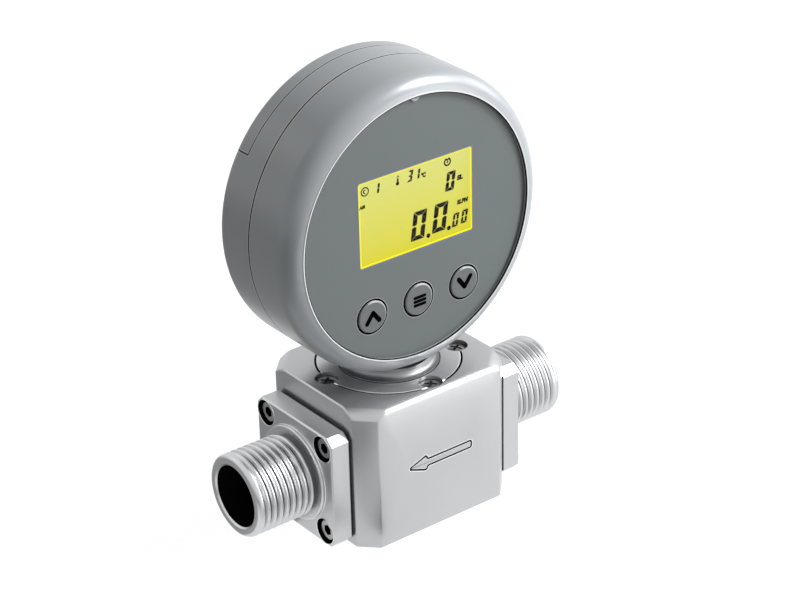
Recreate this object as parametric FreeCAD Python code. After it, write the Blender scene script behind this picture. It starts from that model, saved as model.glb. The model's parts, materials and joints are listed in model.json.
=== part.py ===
import FreeCAD, Part
import math
import os

Vector = FreeCAD.Vector

# Flow block, a milled aluminium body; X runs along the flow, -Y is the front, Z is up
block_length = 46.0
block_depth = 40.0
block_height = 37.5
block_corner_chamfer = 4.4
facet_drop = 2.0
facet_inset = 2.6
front_edge_chamfer = 0.9
edge_break = 0.35
flow_axis_height = 16.5
flow_bore_radius = 7.85

# Inlet and outlet adapters, each milled from one bar with a G1/2 male pipe thread
flange_side = 30.2
flange_thickness = 5.1
flange_corner_chamfer = 1.85
thread_major_radius = 10.4775
nipple_length = 17.9
nipple_tip_chamfer = 1.2
nipple_mouth_chamfer = 0.4
nipple_base_radius = 12.2
nipple_base_height = 0.45
nipple_base_fillet = 1.3
relief_radius = 9.6
relief_length = 0.8
gasket_thickness = 0.95
gasket_inset = 0.55
gasket_bore_clearance = 1.6

# Flange screws, M3 socket head caps in counterbores
flange_screw_pitch = 22.8
screw_radius = 1.5
screw_hole_radius = 1.7
tapped_hole_clearance = 0.03
tapped_hole_spare_depth = 1.2
cap_head_radius = 2.75
cap_head_height = 3.0
cap_socket_across_flats = 2.5
cap_socket_depth = 1.4
cap_head_edge_chamfer = 0.3
flange_counterbore_radius = 3.3
flange_counterbore_depth = 3.7
flange_screw_length = 8.0

# Honeycomb flow straightener in the inlet end of the block
straightener_radius = 9.4
straightener_length = 6.0
straightener_clearance = 0.05
honeycomb_pitch = 2.9
honeycomb_wall = 0.45

# Sensor insert: disc on the top of the block, probe down into the flow
disc_radius = 17.65
disc_thickness = 4.0
disc_clearance = 0.12
disc_edge_chamfer = 0.2
sensor_screw_angles = (174.5, -18.3, -88.0, 92.0)
side_screw_radius = 17.6
front_screw_radius = 15.8
sensor_head_radius = 2.7
sensor_head_height = 1.7
sensor_head_dome = 0.5
sensor_recess_radius = 2.95
sensor_recess_depth = 2.2
sensor_screw_length = 7.0
cross_recess_width = 0.7
cross_recess_length = 3.2
cross_recess_depth = 1.1
cross_recess_turn = 45.0
probe_flange_radius = 8.4
probe_flange_thickness = 2.2
probe_body_radius = 5.9
probe_clearance = 0.1
probe_tip_width = 8.0
probe_tip_thickness = 2.4
probe_tip_reach = 2.5
probe_tip_fillet = 1.08
probe_body_below_bore_top = 2.95
oring_groove_half_width = 1.0
oring_groove_depth = 1.3
oring_below_flange = 2.2
chip_side = 3.0
chip_thickness = 0.5
sensor_board_thickness = 1.0
sensor_board_clearance = 0.2

# Neck, turned aluminium, screwed into the disc and clamped to the display head by a ring nut
neck_base_radius = 12.5
neck_radius = 10.8
neck_foot_height = 0.35
neck_spigot_radius = 8.0
neck_spigot_length = 2.5
neck_spigot_clearance = 0.05
neck_stub_radius = 7.0
neck_stub_clearance = 0.15
neck_bore_radius = 5.2
neck_nut_radius = 9.1
neck_nut_thickness = 2.6
neck_nut_slot_width = 2.0
neck_nut_slot_depth = 1.2
neck_stub_above_nut = 0.6
neck_saddle_clearance = 0.05

# Display head, two moulded housings that meet on one seam, axis along Y
head_above_block = 2.45
head_radius = 37.7
head_wall = 2.2
panel_front = -12.4
bezel_lip = 1.0
bezel_shoulder_radius = 5.4
bezel_inner_chamfer = 0.3
bezel_width = 4.6
seam_depth = 14.55
seam_gap = 0.2
cover_seam_depth = 21.55
head_back_depth = 26.95
back_edge_radius = 2.4
back_wall = 2.0
tongue_thickness = 0.9
tongue_length = 1.5
tongue_clearance = 0.1
seal_height = 0.5
saddle_pad_half_width = 14.0
saddle_pad_height = 4.0
location_tab_radius = 1.35
location_tab_setback = 0.6
seat_width = 2.1
seat_thickness = 1.5

# Face panel with the display window and three keys
panel_clearance = 0.12
panel_thickness = 1.5
window_width = 33.5
window_height = 21.6
window_above_axis = 4.9
window_corner_radius = 0.7
window_clearance = 0.06
window_recess = 0.1
display_side_margin = 3.2
display_end_margin = 2.8
display_thickness = 2.2
display_gap = 0.15
backlight_margin = 0.8
key_radius = 4.05
key_clearance = 0.3
key_pitch = 13.8
key_above_face_edge = 14.1
key_proud = 0.4
key_edge_radius = 0.45
key_collar_radius = 4.85
key_collar_thickness = 0.8
key_collar_gap = 0.12
key_stem_radius = 1.3
key_travel = 0.4
key_end_clearance = 0.12

# Main board, switches and the stepped posts that carry the board
board_depth = 7.8
board_thickness = 1.6
board_edge_clearance = 0.6
board_above_stub = 0.9
board_hole_clearance = 0.2
switch_side = 6.0
switch_body_height = 3.4
switch_plunger_radius = 1.7
switch_plunger_height = 0.7
connector_width = 9.0
connector_height = 4.0
connector_thickness = 1.8
connector_edge_gap = 1.0
ribbon_width = 7.4
ribbon_thickness = 0.3
ribbon_overlap = 5.0
post_from_wall = 3.4
post_angles = (8.0, 172.0, 222.0, 318.0)
post_radius = 3.2
post_spigot_radius = 2.1
post_end_gap = 0.1
housing_screw_radius = 1.2
housing_screw_hole_radius = 1.4
housing_head_radius = 2.2
housing_head_height = 1.6
housing_head_chamfer = 0.5
housing_recess_width = 0.6
housing_recess_length = 2.7
housing_recess_depth = 0.8
housing_recess_turn = 20.0
housing_counterbore_radius = 2.6
housing_counterbore_depth = 6.5
housing_screw_length = 11.0

# Battery bay in the rear housing, two AAA cells behind a door that wraps over the top of the rim
cell_radius = 5.25
cell_length = 44.5
cell_terminal_radius = 1.9
cell_terminal_length = 0.8
cell_gap = 0.4
cell_side_clearance = 0.3
cell_edge_radius = 0.4
contact_thickness = 0.4
contact_space = 2.2
contact_width = 7.0
bay_wall = 1.2
bay_flange_width = 3.4
bay_flange_thickness = 1.2
bay_shelf_thickness = 1.5
upper_cell_below_rim = 17.0
door_corner_angle = 147.4
door_gap = 0.12
door_tab_side_overhang = 2.15
door_tab_corner_radius = 3.0
door_tab_overhang = 2.6
latch_width = 9.0
latch_thickness = 0.9
latch_catch = 0.8
door_hook_width = 14.0
door_hook_thickness = 1.5
door_hook_length = 1.6
door_hook_bite = 0.2
finger_notch_radius = 9.0
finger_notch_depth = 1.0
finger_notch_below_door = 3.15

# Places worked out from the sizes above
head_axis_height = block_height + head_above_block + head_radius
half_length = block_length / 2
half_depth = block_depth / 2
flange_inner_x = half_length + gasket_thickness
flange_outer_x = flange_inner_x + flange_thickness
nipple_end_x = flange_outer_x + nipple_length
disc_floor = block_height - disc_thickness
face_radius = head_radius - bezel_width
seat_inner_radius = face_radius - seat_width
key_below_axis = face_radius - key_above_face_edge
seam_y = panel_front + seam_depth
cover_seam_y = panel_front + cover_seam_depth
head_back_y = panel_front + head_back_depth
head_front_y = panel_front - bezel_lip
back_inner_y = head_back_y - back_wall
panel_back_y = panel_front + panel_thickness
seat_back_y = panel_back_y + seat_thickness
head_inner_radius = head_radius - head_wall
board_radius = head_inner_radius - board_edge_clearance
post_circle_radius = head_inner_radius - post_from_wall
board_front_y = panel_front + board_depth
board_back_y = board_front_y + board_thickness
tongue_outer_radius = head_inner_radius + tongue_thickness
rebate_end_y = seam_y + tongue_length + seal_height
saddle_pad_top = head_axis_height - head_inner_radius + saddle_pad_height - head_wall
neck_stub_top = saddle_pad_top + neck_nut_thickness + neck_stub_above_nut
board_low = neck_stub_top + board_above_stub
upper_cell_above_axis = head_radius - upper_cell_below_rim
lower_cell_above_axis = upper_cell_above_axis - 2 * cell_radius - cell_gap
bay_half_length = cell_length / 2 + contact_space
door_tab_half_width = bay_half_length + door_tab_side_overhang
bay_low = head_axis_height + lower_cell_above_axis - cell_radius - cell_side_clearance
bay_high = head_axis_height + upper_cell_above_axis + cell_radius + cell_side_clearance
bay_back_y = back_inner_y - door_gap
cell_axis_y = back_inner_y - cell_side_clearance - cell_radius
bay_front_y = cell_axis_y - cell_radius - cell_side_clearance
door_chord = head_axis_height + head_radius * math.sin(math.radians(door_corner_angle))
door_tab_low = bay_low - door_tab_overhang

x_axis = Vector(1, 0, 0)
y_axis = Vector(0, 1, 0)
z_axis = Vector(0, 0, 1)
far = 200.0
overrun = 1.0


def box(x_low, x_high, y_low, y_high, z_low, z_high):
    """A box between two corners."""
    return Part.makeBox(x_high - x_low, y_high - y_low, z_high - z_low, Vector(x_low, y_low, z_low))


def rod_x(radius, x_low, x_high, y=0.0, z=flow_axis_height):
    """A cylinder along X, on the flow axis unless a place is given."""
    return Part.makeCylinder(radius, x_high - x_low, Vector(x_low, y, z), x_axis)


def rod_y(radius, y_low, y_high, x=0.0, above_axis=0.0):
    """A cylinder along Y, placed from the axis of the display head."""
    return Part.makeCylinder(radius, y_high - y_low, Vector(x, y_low, head_axis_height + above_axis), y_axis)


def rod_z(radius, z_low, z_high, x=0.0, y=0.0):
    """A cylinder along Z, on the sensor axis unless a place is given."""
    return Part.makeCylinder(radius, z_high - z_low, Vector(x, y, z_low), z_axis)


def prism(points, travel):
    """A closed outline of straight sides, swept along a vector."""
    return Part.Face(Part.makePolygon(points + [points[0]])).extrude(travel)


def turned(edges, centre, axis):
    """A closed outline of edges, turned once round an axis."""
    wire = Part.Wire(Part.__sortEdges__(edges))
    return Part.Face(wire).revolve(centre, axis, 360)


def rounded_plate(half_width, z_low, z_high, corner, y_low, y_high):
    """A plate facing Y with rounded corners, centred on X."""
    plate = box(-half_width, half_width, y_low, y_high, z_low, z_high)
    corners = [edge for edge in plate.Edges if abs(edge.tangentAt(edge.FirstParameter).y) > 0.99]
    return plate.makeFillet(corner, corners)


def polar(radius, degrees):
    """The two coordinates of a point at a radius and an angle."""
    angle = math.radians(degrees)
    return radius * math.cos(angle), radius * math.sin(angle)


def joined(shapes):
    """Fuse a list of touching shapes into one solid."""
    return shapes[0].multiFuse(shapes[1:]).removeSplitter()


def group(shapes):
    """Keep separate solids together as one piece list."""
    return Part.makeCompound(shapes)


def screw_corners():
    """The four places of the flange screws, as (y, z)."""
    half = flange_screw_pitch / 2
    return [(side * half, flow_axis_height + level * half) for side in (-1, 1) for level in (-1, 1)]


def sensor_screw_places():
    """The four places of the sensor screws, as (x, y); the pattern is keyed."""
    radii = (side_screw_radius, side_screw_radius, front_screw_radius, front_screw_radius)
    return [polar(radius, angle) for radius, angle in zip(radii, sensor_screw_angles)]


def straightener_seat_radius():
    """Radius of the recess that holds the straightener."""
    return straightener_radius + straightener_clearance


def block_blank():
    """The milled blank: chamfered corners, sloped facets and broken edges."""
    x, y, c = half_length, half_depth, block_corner_chamfer
    outline = [
        Vector(-x, -y + c, 0), Vector(-x + c, -y, 0), Vector(x - c, -y, 0), Vector(x, -y + c, 0),
        Vector(x, y - c, 0), Vector(x - c, y, 0), Vector(-x + c, y, 0), Vector(-x, y - c, 0),
    ]
    blank = prism(outline, Vector(0, 0, block_height))
    for side in (-1, 1):
        for front in (-1, 1):
            blank = blank.cut(corner_facet(side, front))
    long_edges = [e for e in blank.Edges if on_level(e, block_height) and along(e, x_axis)]
    blank = blank.makeChamfer(front_edge_chamfer, long_edges)
    return blank.makeChamfer(edge_break, blank.Edges)


def corner_facet(side, front):
    """The wedge taken off one top corner above its upright chamfer."""
    c = block_corner_chamfer
    outward = Vector(side, front, 0).normalize()
    across = Vector(-side, front, 0).normalize() * c * 2
    foot = Vector(side * (half_length - c / 2), front * (half_depth - c / 2), block_height - facet_drop)
    slope = (z_axis * facet_drop - outward * facet_inset) * 2
    first = foot - across
    section = [first, first + slope, first + outward * c + z_axis * facet_drop * 2, first + outward * c]
    return prism(section, across * 2)


def on_level(edge, z):
    """True when both ends of an edge lie at height z."""
    return all(abs(vertex.Z - z) < 1e-6 for vertex in edge.Vertexes)


def along(edge, direction):
    """True when an edge runs along a direction."""
    return abs(edge.tangentAt(edge.FirstParameter).dot(direction)) > 0.999


def flow_block():
    """The body that the gas flows through."""
    block = block_blank()
    block = block.cut(rod_x(flow_bore_radius, -far, far))
    block = block.cut(rod_x(straightener_seat_radius(), half_length - straightener_length, far))
    pocket = disc_radius + disc_clearance
    block = block.cut(rod_z(pocket, disc_floor, far))
    rim = Part.makeCone(pocket, pocket + disc_edge_chamfer, disc_edge_chamfer,
                        Vector(0, 0, block_height - disc_edge_chamfer), z_axis)
    block = block.cut(rim)
    block = block.cut(rod_z(probe_flange_radius + probe_clearance, disc_floor - probe_flange_thickness, far))
    block = block.cut(rod_z(probe_body_radius + probe_clearance, flow_axis_height, far))
    tapped = screw_radius + tapped_hole_clearance
    for x, y in sensor_screw_places():
        block = block.cut(rod_z(sensor_recess_radius, block_height - sensor_recess_depth, far, x, y))
        depth = sensor_recess_depth + sensor_screw_length + tapped_hole_spare_depth
        block = block.cut(rod_z(tapped, block_height - depth, far, x, y))
    reach = flange_screw_length - (flange_thickness - flange_counterbore_depth) - gasket_thickness
    for y, z in screw_corners():
        for side in (-1, 1):
            inner = half_length - reach - tapped_hole_spare_depth
            low, high = sorted((side * inner, side * (half_length + edge_break)))
            block = block.cut(rod_x(tapped, low, high, y, z))
    return block


def adapter_for(side):
    """One pipe adapter; side is +1 for the inlet and -1 for the outlet."""
    half = flange_side / 2
    c = flange_corner_chamfer
    yz = [(-half, -half + c), (-half + c, -half), (half - c, -half), (half, -half + c),
          (half, half - c), (half - c, half), (-half + c, half), (-half, half - c)]
    outline = [Vector(flange_inner_x, y, flow_axis_height + z) for y, z in yz]
    flange = prism(outline, Vector(flange_thickness, 0, 0))
    face_edges = [e for e in flange.Edges if all(abs(v.X - flange_outer_x) < 1e-6 for v in e.Vertexes)]
    flange = flange.makeChamfer(edge_break, face_edges)
    adapter = joined([flange, nipple()])
    adapter = adapter.cut(rod_x(flow_bore_radius, 0, far))
    mouth = Part.makeCone(flow_bore_radius, flow_bore_radius + nipple_mouth_chamfer, nipple_mouth_chamfer,
                          Vector(nipple_end_x - nipple_mouth_chamfer, 0, flow_axis_height), x_axis)
    adapter = adapter.cut(mouth)
    seat = flange_outer_x - flange_counterbore_depth
    for y, z in screw_corners():
        adapter = adapter.cut(rod_x(flange_counterbore_radius, seat, far, y, z))
        adapter = adapter.cut(rod_x(screw_hole_radius, 0, far, y, z))
    return on_side(adapter, side)


def nipple():
    """The nipple: a low flared base, a relief and the thread's major cylinder."""
    base_top = flange_outer_x + nipple_base_height
    flare_end = base_top + nipple_base_fillet
    thread_start = flare_end + relief_length
    flare_side = nipple_base_radius - nipple_base_fillet

    def at(x, radius):
        return Vector(x, 0, flow_axis_height + radius)

    diagonal = nipple_base_fillet * math.sqrt(0.5)
    arc_middle = at(flare_end - diagonal, nipple_base_radius - diagonal)
    start = at(base_top, nipple_base_radius)
    end = at(flare_end, flare_side)
    tip = thread_major_radius - nipple_tip_chamfer
    line_points = [end, at(flare_end, relief_radius), at(thread_start, relief_radius),
                   at(thread_start + (thread_major_radius - relief_radius) / 2, thread_major_radius),
                   at(nipple_end_x - nipple_tip_chamfer, thread_major_radius),
                   at(nipple_end_x, tip), at(nipple_end_x, 0), at(flange_inner_x, 0),
                   at(flange_inner_x, nipple_base_radius), start]
    edges = [Part.LineSegment(a, b).toShape() for a, b in zip(line_points, line_points[1:])]
    edges.append(Part.Arc(start, arc_middle, end).toShape())
    return turned(edges, at(0, 0), x_axis)


def on_side(shape, side):
    """The shape as built for +X, or its mirror image for -X."""
    if side > 0:
        return shape
    return shape.mirror(Vector(0, 0, 0), x_axis)


def gasket_for(side):
    """The flat gasket between one adapter and the block."""
    half = flange_side / 2 - gasket_inset
    plate = box(half_length, flange_inner_x, -half, half, flow_axis_height - half, flow_axis_height + half)
    corners = [e for e in plate.Edges if along(e, x_axis)]
    plate = plate.makeChamfer(flange_corner_chamfer, corners)
    plate = plate.cut(rod_x(flow_bore_radius + gasket_bore_clearance, 0, far))
    for y, z in screw_corners():
        plate = plate.cut(rod_x(screw_hole_radius, 0, far, y, z))
    return on_side(plate, side)


def flange_screws_for(side):
    """Four socket head cap screws of one adapter."""
    seat = flange_outer_x - flange_counterbore_depth
    screws = []
    for y, z in screw_corners():
        head = rod_x(cap_head_radius, seat, seat + cap_head_height, y, z)
        top_edge = [e for e in head.Edges if abs(e.CenterOfMass.x - seat - cap_head_height) < 1e-6]
        head = head.makeChamfer(cap_head_edge_chamfer, top_edge)
        shank = rod_x(screw_radius, seat - flange_screw_length, seat, y, z)
        across = cap_socket_across_flats / math.sqrt(3)
        hexagon = [Vector(seat + cap_head_height - cap_socket_depth, y + polar(across, a)[0],
                          z + polar(across, a)[1]) for a in range(30, 390, 60)]
        socket = prism(hexagon, Vector(cap_socket_depth + cap_head_height, 0, 0))
        screws.append(joined([head, shank]).cut(socket))
    return on_side(group(screws), side)


def flow_straightener():
    """The honeycomb disc that evens out the gas before the sensor."""
    start = half_length - straightener_length
    disc = rod_x(straightener_radius, start, half_length)
    across = (honeycomb_pitch - honeycomb_wall) / math.sqrt(3)
    rows = int(flow_bore_radius / honeycomb_pitch) + 2
    cells = []
    for row in range(-rows, rows + 1):
        for column in range(-rows, rows + 1):
            y = honeycomb_pitch * (column + 0.5 * row)
            z = honeycomb_pitch * math.sqrt(0.75) * row
            if math.hypot(y, z) + across > flow_bore_radius:
                continue
            corners = [Vector(start, y + polar(across, a)[0], flow_axis_height + z + polar(across, a)[1])
                       for a in range(30, 390, 60)]
            cells.append(prism(corners, Vector(straightener_length, 0, 0)))
    return disc.cut(Part.makeCompound(cells))


def sensor_probe():
    """The moulded plug that carries the sensing chip in the flow."""
    flange_low = disc_floor - probe_flange_thickness
    body_low = flow_axis_height + flow_bore_radius - probe_body_below_bore_top
    flange = rod_z(probe_flange_radius, flange_low, disc_floor)
    body = rod_z(probe_body_radius, body_low, flange_low)
    tip = box(-probe_tip_width / 2, probe_tip_width / 2, -probe_tip_thickness / 2, probe_tip_thickness / 2,
              flow_axis_height - probe_tip_reach, body_low)
    tip_edges = [e for e in tip.Edges if along(e, z_axis)]
    tip = tip.makeFillet(probe_tip_fillet, tip_edges)
    probe = joined([flange, body, tip])
    groove_z = flange_low - oring_below_flange
    half = oring_groove_half_width
    groove = rod_z(probe_body_radius + overrun, groove_z - half, groove_z + half)
    groove = groove.cut(rod_z(probe_body_radius - oring_groove_depth, 0, far))
    return probe.cut(groove).cut(chip_pocket())


def chip_pocket():
    """The seat of the sensing chip on the front of the probe's tip."""
    half = chip_side / 2
    front = -probe_tip_thickness / 2
    return box(-half, half, front, front + chip_thickness, flow_axis_height - half, flow_axis_height + half)


def sensor_chip():
    """The thermal sensing chip, flush in the probe's tip."""
    return chip_pocket()


def probe_oring():
    """The ring that seals the probe in the block."""
    groove_z = disc_floor - probe_flange_thickness - oring_below_flange
    inner = probe_body_radius - oring_groove_depth
    outer = probe_body_radius + probe_clearance
    centre = (inner + outer) / 2
    return Part.makeTorus(centre, (outer - inner) / 2, Vector(0, 0, groove_z), z_axis)


def sensor_disc():
    """The disc that closes the sensor well, flush with the block's top."""
    disc = rod_z(disc_radius, disc_floor, block_height)
    rim = [e for e in disc.Edges if abs(e.CenterOfMass.z - block_height) < 1e-6]
    disc = disc.makeChamfer(disc_edge_chamfer, rim)
    disc = disc.cut(rod_z(neck_bore_radius, 0, far))
    disc = disc.cut(rod_z(neck_spigot_radius + neck_spigot_clearance, block_height - neck_spigot_length, far))
    for x, y in sensor_screw_places():
        disc = disc.cut(rod_z(sensor_recess_radius, block_height - sensor_recess_depth, far, x, y))
        disc = disc.cut(rod_z(screw_hole_radius, 0, far, x, y))
    return disc


def sensor_screws():
    """Four cross recess screws that hold the disc, their heads below the surface."""
    seat = block_height - sensor_recess_depth
    screws = []
    for (x, y), angle in zip(sensor_screw_places(), sensor_screw_angles):
        head = rod_z(sensor_head_radius, seat, seat + sensor_head_height - sensor_head_dome, x, y)
        sphere_radius = (sensor_head_radius ** 2 + sensor_head_dome ** 2) / (2 * sensor_head_dome)
        top = seat + sensor_head_height
        dome = Part.makeSphere(sphere_radius, Vector(x, y, top - sphere_radius))
        dome = dome.common(rod_z(sensor_head_radius, top - sensor_head_dome, top, x, y))
        shank = rod_z(screw_radius, seat - sensor_screw_length, seat, x, y)
        screw = joined([head, dome, shank])
        for turn in (0, 90):
            slot = box(-cross_recess_length / 2, cross_recess_length / 2, -cross_recess_width / 2,
                       cross_recess_width / 2, top - cross_recess_depth, top + overrun)
            slot.rotate(Vector(0, 0, 0), z_axis, angle + cross_recess_turn + turn)
            slot.translate(Vector(x, y, 0))
            screw = screw.cut(slot)
        screws.append(screw)
    return group(screws)


def sensor_board():
    """The small round board on top of the probe."""
    radius = neck_bore_radius - sensor_board_clearance
    return rod_z(radius, disc_floor, disc_floor + sensor_board_thickness)


def sensor_ribbon():
    """The flat lead from the sensor board up to the main board's connector."""
    low = disc_floor + sensor_board_thickness
    high = board_low + ribbon_overlap
    start = board_back_y
    return box(-ribbon_width / 2, ribbon_width / 2, start, start + ribbon_thickness, low, high)


def neck():
    """The neck: a flared foot, a saddle under the head and a hollow stub through its floor."""

    def at(radius, z):
        return Vector(radius, 0, z)

    foot_top = block_height + neck_foot_height
    flare = neck_base_radius - neck_radius
    bulge = flare * (1 - math.sqrt(0.5))
    start = at(neck_base_radius, foot_top)
    middle = at(neck_radius + bulge, foot_top + bulge)
    end = at(neck_radius, foot_top + flare)
    wide_top = head_axis_height - head_inner_radius
    spigot_low = block_height - neck_spigot_length
    line_points = [end, at(neck_radius, wide_top), at(neck_stub_radius, wide_top),
                   at(neck_stub_radius, neck_stub_top), at(neck_bore_radius, neck_stub_top),
                   at(neck_bore_radius, spigot_low),
                   at(neck_spigot_radius, spigot_low), at(neck_spigot_radius, block_height),
                   at(neck_base_radius, block_height), start]
    edges = [Part.LineSegment(a, b).toShape() for a, b in zip(line_points, line_points[1:])]
    edges.append(Part.Arc(start, middle, end).toShape())
    body = turned(edges, Vector(0, 0, 0), z_axis)
    outside = rod_y(head_radius + neck_saddle_clearance, -far, far)
    return body.cut(outside.cut(rod_z(neck_stub_radius, 0, far)))


def neck_nut():
    """The slotted ring nut inside the head."""
    high = saddle_pad_top + neck_nut_thickness
    nut = rod_z(neck_nut_radius, saddle_pad_top, high).cut(rod_z(neck_stub_radius, 0, far))
    half = neck_nut_slot_width / 2
    for angle in (0, 90):
        slot = box(-far, far, -half, half, high - neck_nut_slot_depth, far)
        slot.rotate(Vector(0, 0, 0), z_axis, angle)
        nut = nut.cut(slot)
    return nut


def neck_passage():
    """The upright hole through the floor of the head."""
    return rod_z(neck_stub_radius + neck_stub_clearance, 0, head_axis_height)


def saddle_pad(y_low, y_high):
    """The flat floor inside the head that the ring nut bears on."""
    block = box(-saddle_pad_half_width, saddle_pad_half_width, y_low, y_high,
                head_axis_height - head_radius, saddle_pad_top)
    return block.common(rod_y(head_radius - head_wall / 2, -far, far))


def post_places():
    """The four places of the housing posts, as (x, above the head's axis)."""
    return [polar(post_circle_radius, angle) for angle in post_angles]


def front_housing():
    """The front moulding: rounded bezel, panel seat, board posts and the tongue of the seam."""
    shoulder = bezel_shoulder_radius
    arc_centre_radius = head_radius - shoulder
    lip_radius = face_radius + bezel_inner_chamfer
    lip_drop = shoulder - math.sqrt(shoulder ** 2 - (lip_radius - arc_centre_radius) ** 2)

    def at(radius, y):
        return Vector(radius, y, head_axis_height)

    lip_y = head_front_y + lip_drop
    start = at(lip_radius, lip_y)
    end = at(head_radius, head_front_y + shoulder)
    half_way = shoulder * math.sqrt(0.5)
    middle = at(arc_centre_radius + half_way, head_front_y + shoulder - half_way)
    seam_front = seam_y - seam_gap
    tongue_end = seam_y + tongue_length - tongue_clearance
    line_points = [end, at(head_radius, seam_front), at(tongue_outer_radius, seam_front),
                   at(tongue_outer_radius, tongue_end), at(head_inner_radius, tongue_end),
                   at(head_inner_radius, seat_back_y), at(seat_inner_radius, seat_back_y),
                   at(seat_inner_radius, panel_back_y), at(face_radius, panel_back_y),
                   at(face_radius, lip_y + bezel_inner_chamfer), start]
    edges = [Part.LineSegment(a, b).toShape() for a, b in zip(line_points, line_points[1:])]
    edges.append(Part.Arc(start, middle, end).toShape())
    shell = turned(edges, at(0, 0), y_axis)
    pieces = [shell, saddle_pad(seat_back_y, seam_front), location_tab()]
    for x, above in post_places():
        pieces.append(rod_y(post_radius, panel_back_y + seat_thickness / 2, board_front_y, x, above))
        pieces.append(rod_y(post_spigot_radius, board_front_y, seam_front, x, above))
    housing = joined(pieces).cut(neck_passage())
    screw_end = head_back_y - housing_counterbore_depth - housing_screw_length
    for x, above in post_places():
        hole = housing_screw_radius + tapped_hole_clearance
        housing = housing.cut(rod_y(hole, screw_end - tapped_hole_spare_depth, far, x, above))
    return housing


def location_tab():
    """The half round tab at the top of the bezel that locates the panel."""
    tab = rod_y(location_tab_radius, head_front_y + location_tab_setback, panel_back_y, 0, face_radius)
    return tab.common(rod_y(face_radius + bezel_inner_chamfer, -far, far))


def face_panel():
    """The grey front panel with its window, key holes and location notch."""
    radius = face_radius - panel_clearance
    panel = rod_y(radius, panel_front, panel_back_y)
    low = head_axis_height + window_above_axis - window_height / 2
    opening = rounded_plate(window_width / 2, low, low + window_height, window_corner_radius,
                            panel_front - overrun, panel_back_y + overrun)
    panel = panel.cut(opening)
    panel = panel.cut(rod_y(location_tab_radius + panel_clearance, -far, far, 0, face_radius))
    for place in (-1, 0, 1):
        hole = rod_y(key_radius + key_clearance, -far, far, place * key_pitch, -key_below_axis)
        panel = panel.cut(hole)
    return panel


def display_window():
    """The clear window, a light press in the panel's opening."""
    low = head_axis_height + window_above_axis - window_height / 2
    return rounded_plate(window_width / 2 - window_clearance, low + window_clearance,
                         low + window_height - window_clearance, window_corner_radius,
                         panel_front + window_recess, panel_back_y)


def display_cell():
    """The liquid crystal cell behind the window."""
    centre = head_axis_height + window_above_axis
    half_width = window_width / 2 + display_side_margin
    half_height = window_height / 2 + display_end_margin
    front = panel_back_y + display_gap
    return box(-half_width, half_width, front, front + display_thickness,
               centre - half_height, centre + half_height)


def backlight():
    """The backlight block between the cell and the main board."""
    centre = head_axis_height + window_above_axis
    half_width = window_width / 2 + display_side_margin + backlight_margin
    half_height = window_height / 2 + display_end_margin + backlight_margin
    front = panel_back_y + display_gap + display_thickness
    return box(-half_width, half_width, front, board_front_y, centre - half_height, centre + half_height)


def key_at(place):
    """One key cap with its retaining collar and stem; place is -1, 0 or 1."""
    x = place * key_pitch
    front = panel_front - key_proud
    collar_front = panel_back_y + key_collar_gap
    collar_back = collar_front + key_collar_thickness
    stem_end = board_front_y - switch_body_height - switch_plunger_height - key_travel - key_end_clearance
    cap = rod_y(key_radius, front, collar_front, x, -key_below_axis)
    rim = [e for e in cap.Edges if abs(e.CenterOfMass.y - front) < 1e-6]
    cap = cap.makeFillet(key_edge_radius, rim)
    collar = rod_y(key_collar_radius, collar_front, collar_back, x, -key_below_axis)
    stem = rod_y(key_stem_radius, collar_back, stem_end, x, -key_below_axis)
    return joined([cap, collar, stem])


def switch_at(place):
    """One tactile switch on the main board, behind its key."""
    x = place * key_pitch
    z = head_axis_height - key_below_axis
    front = board_front_y - switch_body_height
    half = switch_side / 2
    body = box(x - half, x + half, front, board_front_y, z - half, z + half)
    plunger = rod_y(switch_plunger_radius, front - switch_plunger_height, front, x, -key_below_axis)
    return joined([body, plunger])


def main_board():
    """The electronics board on its posts, with the sensor connector on its back."""
    board = rod_y(board_radius, board_front_y, board_back_y)
    board = board.cut(box(-far, far, -far, far, 0, board_low))
    for x, above in post_places():
        board = board.cut(rod_y(post_spigot_radius + board_hole_clearance, -far, far, x, above))
    shelf_y = board_back_y + ribbon_thickness
    half = connector_width / 2
    connector_low = board_low + connector_edge_gap
    connector = box(-half, half, board_back_y, shelf_y + connector_thickness, connector_low,
                    connector_low + connector_height)
    board = joined([board, connector])
    slot = box(-ribbon_width / 2, ribbon_width / 2, board_back_y, shelf_y, 0, board_low + ribbon_overlap)
    return board.cut(slot)


def head_shell():
    """The outer form of the head behind the seam, hollow, with its rounded back edge."""
    shell = rod_y(head_radius, seam_y, head_back_y)
    back_rim = [e for e in shell.Edges if abs(e.CenterOfMass.y - head_back_y) < 1e-6]
    shell = shell.makeFillet(back_edge_radius, back_rim)
    return shell.cut(rod_y(head_inner_radius, -far, back_inner_y))


def head_cup():
    """The shell with the rebate that takes the front moulding's tongue."""
    return head_shell().cut(rod_y(tongue_outer_radius + tongue_clearance, -far, rebate_end_y))


def door_outline(clearance):
    """The space of the battery door through the rim and the back, grown by a clearance."""
    over_top = box(-far, far, cover_seam_y - clearance, far, door_chord - clearance, far)
    tab_high = door_chord + 2 * door_tab_corner_radius
    tab = rounded_plate(door_tab_half_width + clearance, door_tab_low - clearance, tab_high,
                        door_tab_corner_radius, back_inner_y - clearance, head_back_y + overrun)
    return joined([over_top, tab])


def bay_box(grow_x, grow_low, grow_high, y_low, y_high):
    """A box round the cells' space, grown at its ends, floor and roof."""
    return box(-bay_half_length - grow_x, bay_half_length + grow_x, y_low, y_high,
               bay_low - grow_low, bay_high + grow_high)


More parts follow.
